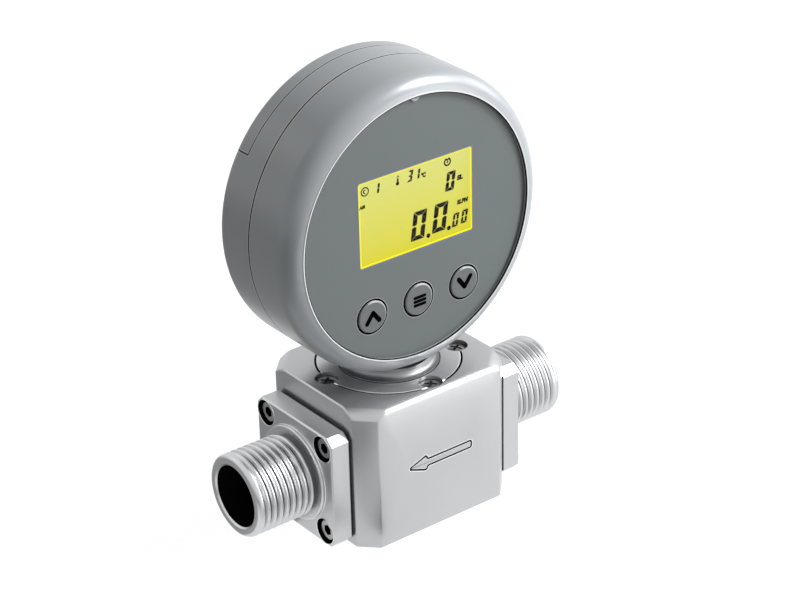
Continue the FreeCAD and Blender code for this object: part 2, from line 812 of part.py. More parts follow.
def door_ledge():
    """The shelf and upright wall that close the head behind the door's cap."""
    front = cover_seam_y - door_gap - bay_shelf_thickness
    low = door_chord - door_gap - bay_shelf_thickness
    shelf = box(-far, far, front, cover_seam_y - door_gap, low, far)
    upright = box(-far, far, front, bay_back_y, low, door_chord - door_gap)
    return joined([shelf, upright]).common(rod_y(head_radius - head_wall / 2, -far, far))


def rear_housing():
    """The rear moulding with the battery bay, screw bosses and the recess for the door."""
    inside = rod_y(head_inner_radius - tongue_clearance, -far, far)
    walls = bay_box(bay_wall, bay_wall, bay_wall, bay_front_y - bay_wall, bay_back_y)
    flange = bay_box(bay_flange_width, bay_flange_width, 0, bay_back_y - bay_flange_thickness, bay_back_y)
    boss_root = back_inner_y + back_wall / 2
    pieces = [head_cup().cut(door_outline(door_gap)), walls.common(inside), flange.common(inside)]
    pieces += [door_ledge(), saddle_pad(seam_y, boss_root)]
    for x, above in post_places():
        pieces.append(rod_y(post_radius, seam_y + post_end_gap, boss_root, x, above))
    housing = joined(pieces)
    housing = housing.cut(bay_box(0, 0, 0, bay_front_y, far))
    housing = housing.cut(neck_passage())
    rebate = rod_y(tongue_outer_radius + tongue_clearance, -far, rebate_end_y)
    housing = housing.cut(rebate.cut(rod_y(head_inner_radius - tongue_clearance, -far, far)))
    seat = head_back_y - housing_counterbore_depth
    for x, above in post_places():
        housing = housing.cut(rod_y(housing_counterbore_radius, seat, far, x, above))
        housing = housing.cut(rod_y(housing_screw_hole_radius, -far, far, x, above))
    housing = housing.cut(door_hook(door_gap)).cut(latch_slot())
    return housing.cut(finger_notch())


def door_hook(clearance):
    """The tongue at the top of the door, grown by a clearance for its slot."""
    half = door_hook_width / 2
    high = head_axis_height + head_inner_radius + door_hook_bite
    return box(-half - clearance, half + clearance, cover_seam_y - door_hook_length - clearance,
               cover_seam_y + door_hook_length, high - door_hook_thickness - clearance, high + clearance)


def latch_arm():
    """The snap arm under the door's tab, with its catch behind the bay's flange."""
    half = latch_width / 2
    high = bay_low - bay_wall - door_gap
    low = high - latch_thickness
    catch_back = bay_back_y - bay_flange_thickness - door_gap
    arm = box(-half, half, catch_back - latch_thickness, back_inner_y + back_wall / 2, low, high)
    catch = box(-half, half, catch_back - latch_thickness, catch_back, low - latch_catch, high)
    return joined([arm, catch])


def latch_slot():
    """The slot in the bay's flange that the snap arm passes through."""
    half = latch_width / 2 + door_gap
    high = bay_low - bay_wall
    return box(-half, half, bay_front_y, bay_back_y + door_gap, high - latch_thickness - door_gap * 2, high)


def finger_notch():
    """The shallow scoop below the door for a fingertip."""
    z = door_tab_low - finger_notch_below_door
    centre_y = head_back_y + finger_notch_radius - finger_notch_depth
    scoop = Part.makeSphere(finger_notch_radius, Vector(0, centre_y, z))
    return scoop.common(box(-far, far, -far, far, 0, door_tab_low - door_gap))


def battery_door():
    """The battery door: a cap over the top of the rim, a hook, and a tab with a snap arm."""
    door = head_shell().common(door_outline(0.0))
    return joined([door, door_hook(0.0), latch_arm()])


def housing_screws():
    """Four pan head screws that pull the housings together."""
    seat = head_back_y - housing_counterbore_depth
    screws = []
    for x, above in post_places():
        head = rod_y(housing_head_radius, seat, seat + housing_head_height, x, above)
        top = [e for e in head.Edges if abs(e.CenterOfMass.y - seat - housing_head_height) < 1e-6]
        head = head.makeChamfer(housing_head_chamfer, top)
        shank = rod_y(housing_screw_radius, seat - housing_screw_length, seat, x, above)
        screw = joined([head, shank])
        z = head_axis_height + above
        for turn in (0, 90):
            slot = box(-housing_recess_length / 2, housing_recess_length / 2,
                       seat + housing_head_height - housing_recess_depth, far,
                       -housing_recess_width / 2, housing_recess_width / 2)
            slot.rotate(Vector(0, 0, 0), y_axis, turn + housing_recess_turn)
            slot.translate(Vector(x, 0, z))
            screw = screw.cut(slot)
        screws.append(screw)
    return group(screws)


def housing_seal():
    """The square section cord in the seam, open where the neck passes."""
    start = seam_y + tongue_length - tongue_clearance
    ring = rod_y(tongue_outer_radius, start, rebate_end_y).cut(rod_y(head_inner_radius, -far, far))
    return ring.cut(neck_passage())


def cell_at(above, plus_side):
    """One AAA cell along X, its plus end towards the given side."""
    body_half = cell_length / 2 - cell_terminal_length / 2
    shift = -plus_side * cell_terminal_length / 2
    z = head_axis_height + above
    body = rod_x(cell_radius, shift - body_half, shift + body_half, cell_axis_y, z)
    rims = [e for e in body.Edges if e.Length > cell_radius and abs(e.CenterOfMass.y - cell_axis_y) < 1e-6
            and abs(abs(e.CenterOfMass.x - shift) - body_half) < 1e-6]
    body = body.makeFillet(cell_edge_radius, rims)
    tip = sorted((shift + plus_side * body_half, plus_side * cell_length / 2))
    return joined([body, rod_x(cell_terminal_radius, tip[0], tip[1], cell_axis_y, z)])


def bowed_strip(wall_x, side, above):
    """A bowed contact strip that bridges the space between a bay wall and a cell."""
    z = head_axis_height + above
    half = contact_width / 2
    reach = contact_space

    def arc(offset):
        ends = [Vector(wall_x - side * offset, cell_axis_y - half, z - half),
                Vector(wall_x - side * (reach - contact_thickness + offset), cell_axis_y - half, z),
                Vector(wall_x - side * offset, cell_axis_y - half, z + half)]
        return ends

    outer = arc(0.0)
    inner = arc(contact_thickness)
    edges = [Part.Arc(*outer).toShape(), Part.Arc(*inner).toShape(),
             Part.LineSegment(outer[0], inner[0]).toShape(), Part.LineSegment(outer[2], inner[2]).toShape()]
    face = Part.Face(Part.Wire(Part.__sortEdges__(edges)))
    return face.extrude(Vector(0, contact_width, 0))


def contact_for(side):
    """The contacts on one end of the bay, one bowed strip for each cell."""
    levels = (upper_cell_above_axis, lower_cell_above_axis)
    return group([bowed_strip(side * bay_half_length, side, above) for above in levels])


def export(name, shape):
    """Write one piece and print its volume."""
    solids = shape.Solids
    assert solids and all(solid.isValid() for solid in solids), name
    shape.exportStep("parts/" + name + ".step")
    print(name, len(solids), round(shape.Volume, 1))


def main():
    """Build every piece and write it."""
    os.makedirs("parts", exist_ok=True)
    export("flow_block", flow_block())
    for name, side in (("inlet", 1), ("outlet", -1)):
        export(name + "_adapter", adapter_for(side))
        export(name + "_gasket", gasket_for(side))
        export(name + "_flange_screws", flange_screws_for(side))
    export("flow_straightener", flow_straightener())
    export("sensor_probe", sensor_probe())
    export("sensor_chip", sensor_chip())
    export("probe_oring", probe_oring())
    export("sensor_board", sensor_board())
    export("sensor_disc", sensor_disc())
    export("sensor_screws", sensor_screws())
    export("sensor_ribbon", sensor_ribbon())
    export("neck", neck())
    export("neck_nut", neck_nut())
    export("front_housing", front_housing())
    export("rear_housing", rear_housing())
    export("battery_door", battery_door())
    export("housing_screws", housing_screws())
    export("housing_seal", housing_seal())
    export("face_panel", face_panel())
    export("display_window", display_window())
    export("display_cell", display_cell())
    export("backlight", backlight())
    export("main_board", main_board())
    for name, place in (("up", -1), ("menu", 0), ("down", 1)):
        export(name + "_key", key_at(place))
        export(name + "_switch", switch_at(place))
    export("upper_cell", cell_at(upper_cell_above_axis, 1))
    export("lower_cell", cell_at(lower_cell_above_axis, -1))
    export("left_contacts", contact_for(-1))
    export("right_contacts", contact_for(1))


main()
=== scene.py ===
"""A gas flow meter: a milled block with pipe adapters, and a round display head on a short neck."""

import json
import logging
import math
from dataclasses import dataclass, field
from enum import Enum
from functools import cache

import bmesh
import bpy
from mathutils import Matrix, Vector

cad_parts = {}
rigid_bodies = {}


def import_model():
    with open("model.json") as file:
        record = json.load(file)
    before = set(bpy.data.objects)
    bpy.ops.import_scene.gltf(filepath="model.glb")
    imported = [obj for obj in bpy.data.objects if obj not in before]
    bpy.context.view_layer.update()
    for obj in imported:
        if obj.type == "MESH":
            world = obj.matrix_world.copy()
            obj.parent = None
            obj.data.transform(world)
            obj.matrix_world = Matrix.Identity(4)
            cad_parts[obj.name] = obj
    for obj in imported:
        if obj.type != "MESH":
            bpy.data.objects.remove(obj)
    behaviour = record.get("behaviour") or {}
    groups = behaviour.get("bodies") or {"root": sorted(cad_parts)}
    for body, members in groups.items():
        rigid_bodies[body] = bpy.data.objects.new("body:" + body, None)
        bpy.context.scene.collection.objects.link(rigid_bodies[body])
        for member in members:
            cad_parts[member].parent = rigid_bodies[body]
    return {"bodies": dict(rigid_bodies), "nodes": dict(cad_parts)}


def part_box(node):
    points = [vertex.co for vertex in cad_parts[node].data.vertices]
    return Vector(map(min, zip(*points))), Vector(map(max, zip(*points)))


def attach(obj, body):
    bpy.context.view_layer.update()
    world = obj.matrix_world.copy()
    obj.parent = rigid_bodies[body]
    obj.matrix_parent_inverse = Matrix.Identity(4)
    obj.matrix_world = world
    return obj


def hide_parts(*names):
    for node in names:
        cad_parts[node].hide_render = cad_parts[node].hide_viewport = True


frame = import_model()

MM = 0.001
SHARP_ANGLE = math.radians(30.0)
MERGE_DISTANCE = 1e-7
TURN_MERGE_DISTANCE = 5e-6
FLOW_AXIS_Z = 16.5 * MM
FULL_TURN = 2.0 * math.pi
NOISE_RANGE = (-0.25, 1.25)
X_AXIS = Vector((1.0, 0.0, 0.0))
Y_AXIS = Vector((0.0, 1.0, 0.0))
Z_AXIS = Vector((0.0, 0.0, 1.0))
FLOW_CENTRE = Z_AXIS * FLOW_AXIS_Z
WHITE = (1.0, 1.0, 1.0, 1.0)

Colour = tuple[float, float, float]
Point = tuple[float, float]
Corners = tuple[float, float, float, float]
Mesh = bmesh.types.BMesh
Inputs = dict[str | int, object]
Socket = bpy.types.NodeSocket
Material = bpy.types.Material

log = logging.getLogger("flow_meter")


class Body(Enum):
    """The bodies that pieces ride on."""

    METER = "meter"
    UP = "up_key"
    MENU = "menu_key"
    DOWN = "down_key"


class Axis(Enum):
    """The axis that a turned piece was turned about."""

    FLOW = "X"
    UPRIGHT = "Z"


class Nodes:
    """A short way to write one node tree."""

    def __init__(self, tree: bpy.types.NodeTree) -> None:
        """Keep the tree that the nodes go into."""
        self.tree = tree

    def put(self, socket: Socket, value: object) -> None:
        """Set a socket, or join it if the value is another socket."""
        if isinstance(value, Socket):
            self.tree.links.new(value, socket)
            return
        for link in list(socket.links):
            self.tree.links.remove(link)
        socket.default_value = value

    def add(self, kind: str, inputs: Inputs | None = None, **settings: object) -> bpy.types.Node:
        """Add one node and set or join its inputs.

        Args:
            kind: The node's type name.
            inputs: A value or an output socket for each named or numbered input.
            **settings: Properties of the node itself.

        Returns:
            The new node.
        """
        node = self.tree.nodes.new(kind)
        for name, value in settings.items():
            setattr(node, name, value)
        for name, value in (inputs or {}).items():
            self.put(node.inputs[name], value)
        return node

    def math(self, operation: str, first: object, second: object = 0.0) -> Socket:
        """Add a maths node and return its result."""
        return self.add("ShaderNodeMath", {0: first, 1: second}, operation=operation).outputs[0]

    def vector(self, operation: str, *values: object) -> bpy.types.bpy_prop_collection:
        """Add a vector maths node and return its outputs."""
        return self.add("ShaderNodeVectorMath", dict(enumerate(values)), operation=operation).outputs

    def spread(self, value: object, low: float, high: float) -> Socket:
        """Stretch a value from 0..1 to low..high and return it."""
        return self.add("ShaderNodeMapRange", {"Value": value, "To Min": low, "To Max": high}).outputs[0]

    def ramp(self, factor: object, stops: list[tuple[float, Colour]]) -> Socket:
        """Add a colour ramp.

        Args:
            factor: What the ramp reads, from 0 to 1.
            stops: Places on the ramp with their colours.

        Returns:
            The ramp's colour.
        """
        node = self.add("ShaderNodeValToRGB", {0: factor})
        band = node.color_ramp
        while len(band.elements) < len(stops):
            band.elements.new(0.5)
        for element, (place, colour) in zip(band.elements, stops):
            element.position = place
            element.color = (*colour, 1.0)
        return node.outputs[0]

    def shaded(self, colour: Colour, mask: object, amount: float) -> Socket:
        """Return a colour that is darker by a share of amount where the mask is 0."""
        dark = tuple(channel * (1.0 - amount) for channel in colour)
        return self.ramp(mask, [(0.0, dark), (1.0, colour)])


class SharedGroup(Nodes):
    """An effect that several finishes share, as a group of nodes."""

    def __init__(self, name: str, inputs: dict[str, float], outputs: tuple[str, ...]) -> None:
        """Start the group with its number inputs and its outputs."""
        super().__init__(bpy.data.node_groups.new(name, "ShaderNodeTree"))
        interface = self.tree.interface
        for label, value in inputs.items():
            interface.new_socket(label, in_out="INPUT", socket_type="NodeSocketFloat").default_value = value
        for label in outputs:
            interface.new_socket(label, in_out="OUTPUT", socket_type="NodeSocketFloat")
        self.given = self.add("NodeGroupInput").outputs
        self.result = self.add("NodeGroupOutput").inputs

    def give_noise(self, label: str, inputs: dict[str, object], **settings: object) -> None:
        """Join a noise of the full range from 0 to 1 to one of the group's outputs."""
        noise = self.add("ShaderNodeTexNoise", inputs, **settings)
        self.put(self.result[label], self.spread(noise.outputs[0], *NOISE_RANGE))


@cache
def grain_effect() -> bpy.types.NodeTree:
    """Return the grain of plain surfaces: Height for bump, Mottle for colour and Smudge for gloss."""
    scales = {"Grains per mm": 4.0, "Blotch mm": 9.0}
    group = SharedGroup("surface_grain", scales, ("Height", "Mottle", "Smudge"))
    place = group.add("ShaderNodeTexCoord").outputs["Object"]
    fine = group.math("MULTIPLY", group.given["Grains per mm"], 1.0 / MM)
    slow = group.math("DIVIDE", 1.0 / MM, group.given["Blotch mm"])
    bent = group.math("MULTIPLY", slow, 2.3)
    group.give_noise("Height", {"Vector": place, "Scale": fine, "Detail": 2.0})
    group.give_noise("Mottle", {"Vector": place, "Scale": slow, "Detail": 3.0})
    group.give_noise("Smudge", {"Vector": place, "Scale": bent, "Detail": 4.0, "Distortion": 0.8})
    return group.tree


@cache
def turning_effect() -> bpy.types.NodeTree:
    """Return the tool marks of a lathe, Height and Streak, which vary along the Along input."""
    group = SharedGroup("turning_marks", {"Along": 0.0, "Lines per mm": 9.0}, ("Height", "Streak"))
    along = group.math("MULTIPLY", group.given["Along"], 1.0 / MM)
    for label, scale in (("Height", group.given["Lines per mm"]), ("Streak", 1.3)):
        group.give_noise(label, {"W": along, "Scale": scale}, noise_dimensions="1D")
    return group.tree


class Sheet(Nodes):
    """A material whose nodes are being written."""

    def __init__(self, name: str) -> None:
        """Start a material with its Principled shader."""
        self.material = bpy.data.materials.new(name)
        self.material.use_nodes = True
        super().__init__(self.material.node_tree)
        self.shader = self.tree.nodes["Principled BSDF"]

    def set(self, **values: object) -> None:
        """Set or join the shader's sockets; an underscore in a name stands for a space."""
        for label, value in values.items():
            self.put(self.shader.inputs[label.replace("_", " ")], value)

    def bump(self, height: Socket, depth_mm: float) -> Socket:
        """Add a bump of a real depth and return its normal."""
        return self.add("ShaderNodeBump", {"Height": height, "Distance": depth_mm * MM}).outputs[0]

    def place(self) -> Socket:
        """Return the piece's own coordinates."""
        return self.add("ShaderNodeTexCoord").outputs["Object"]


@dataclass(frozen=True)
class Finish:
    """A surface with fine grain, slow mottling and slightly uneven gloss."""

    name: str
    colour: Colour
    metallic: float = 0.0
    gloss_low: float = 0.4
    gloss_high: float = 0.5
    grains_per_mm: float = 4.0
    blotch_mm: float = 9.0
    grain_depth_mm: float = 0.01
    mottle: float = 0.05
    sockets: dict[str, float] = field(default_factory=dict)

    def build(self) -> Material:
        """Write the material and return it."""
        sheet = Sheet(self.name)
        scales = {"Grains per mm": self.grains_per_mm, "Blotch mm": self.blotch_mm}
        grain = sheet.add("ShaderNodeGroup", scales, node_tree=grain_effect()).outputs
        sheet.set(Metallic=self.metallic,
                  Base_Color=sheet.shaded(self.colour, grain["Mottle"], self.mottle),
                  Roughness=sheet.spread(grain["Smudge"], self.gloss_low, self.gloss_high),
                  Normal=sheet.bump(grain["Height"], self.grain_depth_mm), **self.sockets)
        self.extend(sheet)
        return sheet.material

    def extend(self, sheet: Sheet) -> None:
        """Add what a special finish needs; the plain one adds nothing."""


@dataclass(frozen=True)
class TurnedMetal(Finish):
    """Metal off a lathe, with fine rings about its axis."""

    axis: Axis = Axis.FLOW
    lines_per_mm: float = 9.0
    line_depth_mm: float = 0.012

    def extend(self, sheet: Sheet) -> None:
        """Lay the tool marks over the grain."""
        upright = self.axis is Axis.UPRIGHT
        moved = sheet.vector("SUBTRACT", sheet.place(), (0.0, 0.0, 0.0 if upright else FLOW_AXIS_Z))[0]
        along = sheet.add("ShaderNodeSeparateXYZ", {0: moved}).outputs[self.axis.value]
        across = sheet.vector("MULTIPLY", moved, (1.0, 1.0, 0.0) if upright else (0.0, 1.0, 1.0))[0]
        run = sheet.math("ADD", along, sheet.vector("LENGTH", across)["Value"])
        marks = sheet.add("ShaderNodeGroup", node_tree=turning_effect(),
                          inputs={"Along": run, "Lines per mm": self.lines_per_mm}).outputs
        sheet.set(Base_Color=sheet.shaded(self.colour, marks["Streak"], self.mottle),
                  Roughness=sheet.spread(marks["Streak"], self.gloss_low, self.gloss_high),
                  Normal=sheet.bump(marks["Height"], self.line_depth_mm))


@dataclass(frozen=True)
class LitDisplay(Finish):
    """A back-lit cell whose light falls off from the lower to the upper edge."""

    upper: Colour = (0.75, 0.76, 0.2)
    low_mm: float = 0.0
    high_mm: float = 1.0

    def extend(self, sheet: Sheet) -> None:
        """Add the light of the cell."""
        height = sheet.add("ShaderNodeSeparateXYZ", {0: sheet.place()}).outputs["Z"]
        span = {"Value": height, "From Min": self.low_mm * MM, "From Max": self.high_mm * MM}
        share = sheet.add("ShaderNodeMapRange", span).outputs[0]
        sheet.set(Emission_Color=sheet.ramp(share, [(0.0, self.colour), (1.0, self.upper)]),
                  Base_Color=(0.02, 0.02, 0.005, 1.0), Emission_Strength=1.0, Specular_IOR_Level=0.1)


@dataclass(frozen=True)
class JointedShell(Finish):
    """Moulded shell with a dark line along its joint and round the battery door, and light lips beside it as a
    painted highlight.
    """

    joint_mm: float = 2.05
    door_mm: float = 9.09
    door_low_mm: float = 97.9
    door_narrowing: float = 1.35
    # Shades by distance from the joint: a dark line, then light lips that are a painted highlight.
    joint_and_highlight_shades: tuple[Point, ...] = ((0.0, 0.02), (0.2, 0.02), (0.25, 0.62), (0.42, 0.62))
    plain_from: float = 0.55

    def extend(self, sheet: Sheet) -> None:
        """Colour the surface by its distance from the joint or the door's outline."""
        place = sheet.vector("MULTIPLY", sheet.place(), (1.0 / MM,) * 3)[0]
        axes = sheet.add("ShaderNodeSeparateXYZ", {0: place}).outputs
        joint = sheet.math("ABSOLUTE", sheet.math("SUBTRACT", axes["Y"], self.joint_mm))
        behind = sheet.math("SUBTRACT", self.door_mm, axes["Y"])
        below = sheet.math("SUBTRACT", self.door_low_mm, axes["Z"])
        edge = sheet.math("ABSOLUTE", sheet.math("MAXIMUM", behind, below))
        nearest = sheet.math("MINIMUM", joint, sheet.math("MULTIPLY", edge, self.door_narrowing))
        stops = [(distance, (shade,) * 3) for distance, shade in self.joint_and_highlight_shades]
        sheet.set(Base_Color=sheet.ramp(nearest, [*stops, (self.plain_from, self.colour)]))


@dataclass(frozen=True)
class CircuitBoard(Finish):
    """Solder mask with faint tracks under it."""

    track_colour: Colour = (0.12, 0.42, 0.14)
    track_pitch_mm: float = 6.0

    def extend(self, sheet: Sheet) -> None:
        """Show the tracks as a pattern of straight lines."""
        mask = (*self.colour, 1.0)
        tracks = sheet.add("ShaderNodeTexBrick", {
            "Vector": sheet.place(), "Scale": 1.0 / (self.track_pitch_mm * MM), "Mortar Size": 0.05,
            "Color1": mask, "Color2": mask, "Mortar": (*self.track_colour, 1.0)}).outputs
        sheet.set(Base_Color=tracks["Color"], Normal=sheet.bump(tracks["Fac"], 0.03))


class Palette:
    """Every finish of the meter, each made once."""

    def __init__(self) -> None:
        """Build the materials."""
        blasted = {"grains_per_mm": 5.0, "blotch_mm": 14.0, "grain_depth_mm": 0.008, "mottle": 0.04}
        moulded = {"grains_per_mm": 3.2, "blotch_mm": 22.0, "mottle": 0.03}
        turned = {"axis": Axis.UPRIGHT, "line_depth_mm": 0.004}
        dull = {"sockets": {"Specular_IOR_Level": 0.0}}
        clear = {"sockets": {"Transmission_Weight": 1.0, "IOR": 1.18}}
        lit = {"low_mm": head_axis() / MM - 6.0, "high_mm": head_axis() / MM + 16.0}
        self.block = Finish("blasted_aluminium", (0.52, 0.525, 0.535), 0.85, 0.31, 0.36, **blasted).build()
        # White flat bands beside the arrow's groove and along the disc's edge: a painted highlight.
        self.painted_highlight = Finish("milled_edge", (1.0, 1.0, 1.0), 0.5, 0.2, 0.26, **blasted).build()
        self.engraved = Finish("engraved_groove", (0.03, 0.03, 0.032), 0.0, 0.5, 0.6, **blasted, **dull).build()
        self.flange = Finish("flange_aluminium", (0.56, 0.565, 0.575), 0.88, 0.3, 0.36, **blasted).build()
        self.thread = TurnedMetal("turned_thread", (0.64, 0.645, 0.655), 1.0, 0.31, 0.36, mottle=0.12,
                                  line_depth_mm=0.0005, lines_per_mm=3.0).build()
        # Near-black steel in the thread's roots: painted shade in the valleys.
        self.root = Finish("thread_root", (0.13, 0.13, 0.135), 0.9, 0.35, 0.42).build()
        self.lip = Finish("cut_edge", (0.8, 0.81, 0.82), 1.0, 0.2, 0.26).build()
        # A light grey used as a painted highlight round the key holes and on the keys' upper rims, and as
        # painted light lining the bezel's inner wall.
        self.rim = Finish("moulded_edge", (0.42, 0.44, 0.45), 0.0, 0.26, 0.32).build()
        self.bore = Finish("bore_shadow", (0.012, 0.012, 0.013), 0.0, 0.6, 0.75, mottle=0.3, **dull).build()
        # Turned metal whose colour is darkened as painted shade, for the shade under the head.
        self.neck = TurnedMetal("turned_neck", (0.26, 0.265, 0.27), 0.9, 0.38, 0.42, mottle=0.03,
                                **turned).build()
        self.disc = TurnedMetal("faced_disc", (0.62, 0.625, 0.635), 0.85, 0.3, 0.35, mottle=0.04,
                                **turned).build()
        self.dark_steel = Finish("black_oxide_steel", (0.26, 0.26, 0.265), 0.95, 0.26, 0.34, mottle=0.2).build()
        self.head_steel = Finish("screw_steel", (0.42, 0.42, 0.425), 1.0, 0.24, 0.32, mottle=0.15).build()
        # A bright ring over the bezel's inner chamfer: a painted highlight.
        self.edge = Finish("bright_edge", (0.85, 0.87, 0.88), 0.4, 0.15, 0.2).build()
        self.plated = Finish("bright_plated_steel", (0.70, 0.71, 0.72), 1.0, 0.18, 0.26, mottle=0.08).build()
        self.housing = JointedShell("housing_satin_grey", (0.4, 0.425, 0.445), 0.1, 0.3, 0.32,
                                    grain_depth_mm=0.006, **moulded).build()
        self.panel = Finish("panel_grey", (0.142, 0.164, 0.165), 0.0, 0.5, 0.6, **moulded).build()
        self.key = Finish("key_grey", (0.135, 0.156, 0.158), 0.0, 0.26, 0.32, grain_depth_mm=0.004,
                          **moulded).build()
        # Lighter than the key, for the rest of each key's rounded rim: painted light.
        self.key_rim_painted_light = Finish("key_edge_grey", (0.2, 0.222, 0.224), 0.0, 0.3, 0.36).build()
        # Black print for the signs and the dark joint lines, and also painted shadow in the gaps round the
        # panel and the keys, on the keys' side walls and in the screws' hexagon recesses.
        self.ink_and_painted_shade = Finish("black_ink", (0.003, 0.003, 0.003), 0.0, 0.5, 0.6, mottle=0.3, **dull).build()
        self.outline = Finish("window_outline", (0.15, 0.17, 0.38), 0.0, 0.4, 0.5).build()
        self.window = Finish("clear_window", (1.0, 1.0, 1.0), 0.0, 0.0, 0.002, grain_depth_mm=0.0002,
                             mottle=0.0, **clear).build()
        self.display = LitDisplay("lit_display", (0.70, 0.65, 0.03), upper=(0.72, 0.73, 0.2), **lit).build()
        self.glow = LitDisplay("window_edge_glow", (1.0, 0.9, 0.0), upper=(1.0, 0.92, 0.0), **lit).build()
        self.diffuser = Finish("white_diffuser", (0.8, 0.8, 0.76), 0.0, 0.5, 0.6).build()
        self.board = CircuitBoard("circuit_board", (0.02, 0.14, 0.05), 0.0, 0.3, 0.4).build()
        self.switch = Finish("switch_plastic", (0.02, 0.02, 0.022), 0.0, 0.35, 0.5, mottle=0.2).build()
        self.film = Finish("ribbon_film", (0.5, 0.28, 0.05), 0.0, 0.25, 0.35, mottle=0.15).build()
        self.rubber = Finish("black_rubber", (0.015, 0.015, 0.016), 0.0, 0.65, 0.8, mottle=0.25).build()
        self.probe = Finish("probe_plastic", (0.05, 0.05, 0.052), 0.0, 0.45, 0.55, mottle=0.15).build()
        self.chip = Finish("chip_ceramic", (0.75, 0.74, 0.7), 0.0, 0.3, 0.4).build()
        self.jacket = Finish("cell_sleeve", (0.02, 0.05, 0.16), 0.3, 0.25, 0.35, mottle=0.1).build()


def head_axis() -> float:
    """Return the height of the display head's axis, from the front housing's box."""
    low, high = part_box("front_housing")
    return high.z - (high.x - low.x) / 2.0


def off_axis(place: Vector) -> float:
    """Return a place's distance from the flow axis."""
    return math.hypot(place.y, place.z - FLOW_AXIS_Z)


def open_edges(bm: Mesh) -> list[bmesh.types.BMEdge]:
    """Return the edges with one face only."""
    return [edge for edge in bm.edges if edge.is_boundary]


def put_in_scene(name: str, data: bpy.types.ID, place: Matrix = Matrix.Identity(4)) -> bpy.types.Object:
    """Make an object of some data, put it in the scene and return it."""
    thing = bpy.data.objects.new(name, data)
    thing.matrix_world = place
    bpy.context.scene.collection.objects.link(thing)
    return thing


def piece_from(bm: Mesh, name: str, materials: list[Material], body: Body = Body.METER,
               stands_for: tuple[str, ...] = ()) -> None:
    """Turn a bmesh into a finished piece.

    Args:
        bm: The mesh, in the frame's own place; it is used up.
        name: The piece's name.
        materials: Its materials, by face index.
        body: The body that it rides on.
        stands_for: The CAD nodes that it replaces.
    """
    bm.normal_update()
    for face in bm.faces:
        face.smooth = True
    for edge in bm.edges:
        edge.smooth = edge.is_manifold and edge.calc_face_angle(0.0) < SHARP_ANGLE
    mesh = bpy.data.meshes.new(name)
    bm.to_mesh(mesh)
    bm.free()
    if "custom_normal" in mesh.attributes:
        mesh.attributes.remove(mesh.attributes["custom_normal"])
    for material in materials:
        mesh.materials.append(material)
    piece = put_in_scene(name, mesh)
    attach(piece, body.value)
    if stands_for:
        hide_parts(*stands_for)
    log.info("%s: %d faces", name, len(mesh.polygons))


def cad_copy(node: str) -> Mesh:
    """Copy a CAD node's mesh with its triangles joined, and return it."""
    bm = bmesh.new()
    bm.from_mesh(frame["nodes"][node].data)
    bmesh.ops.remove_doubles(bm, verts=bm.verts, dist=MERGE_DISTANCE)
    return bm


def dress(material: Material, *nodes: str) -> None:
    """Give the named CAD nodes their finish."""
    for node in nodes:
        for slot in frame["nodes"][node].material_slots:
            slot.material = material
        log.info("%s: %s", node, material.name)


def lathe(outline: list[Point], steps: int, axis: Vector = X_AXIS, centre: Vector = FLOW_CENTRE,
          bm: Mesh | None = None) -> Mesh:
    """Turn a closed outline about an axis.

    Args:
        outline: Points as (distance along the axis, radius), in order.
        steps: How many steps make the full turn.
        axis: The axis' direction, along X, Y or Z.
        centre: A point on the axis, from which the distances run.
        bm: A mesh to add to; a new one if left out.

    Returns:
        The turned mesh, closed and facing outwards.
    """
    bm = bm or bmesh.new()
    across = X_AXIS if axis == Z_AXIS else Z_AXIS
    verts = [bm.verts.new(centre + axis * along + across * radius) for along, radius in outline]
    edges = [bm.edges.new(pair) for pair in zip(verts, verts[1:] + verts[:1])]
    bmesh.ops.spin(bm, geom=verts + edges, cent=centre, axis=axis, angle=FULL_TURN, steps=steps, use_merge=True)
    bmesh.ops.remove_doubles(bm, verts=bm.verts, dist=MERGE_DISTANCE)
    bmesh.ops.recalc_face_normals(bm, faces=bm.faces)
    return bm


def add_mesh(bm: Mesh, other: Mesh) -> None:
    """Add another mesh to a mesh and use the other up."""
    whole = bpy.data.meshes.new("joining")
    other.to_mesh(whole)
    other.free()
    bm.from_mesh(whole)
    bpy.data.meshes.remove(whole)


def flat_ring(axis: Vector, centre: Vector, radii: Point, levels: Point, bm: Mesh | None = None) -> Mesh:
    """Make a thin square-edged ring.

    Args:
        axis: The ring's axis.
        centre: A point on the axis.
        radii: Its inner and outer radius, in millimetres.
        levels: Where it starts and ends along the axis, in millimetres from the centre.
        bm: A mesh to add it to; a new one if left out.

    Returns:
        The mesh.
    """
    (inner, outer), (low, high) = radii, levels
    outline = [(low * MM, inner * MM), (low * MM, outer * MM), (high * MM, outer * MM), (high * MM, inner * MM)]
    return lathe(outline, 128, axis, centre, bm)


def round_ring(bm: Mesh, centre: Vector, radius: float, thickness: float) -> None:
    """Add a thin ring of round section about X; both of its radii are in metres."""
    arc = [FULL_TURN * step / 10.0 for step in range(10)]
    outline = [(thickness * math.sin(angle), radius + thickness * math.cos(angle)) for angle in arc]
    lathe(outline, 96, X_AXIS, centre, bm)


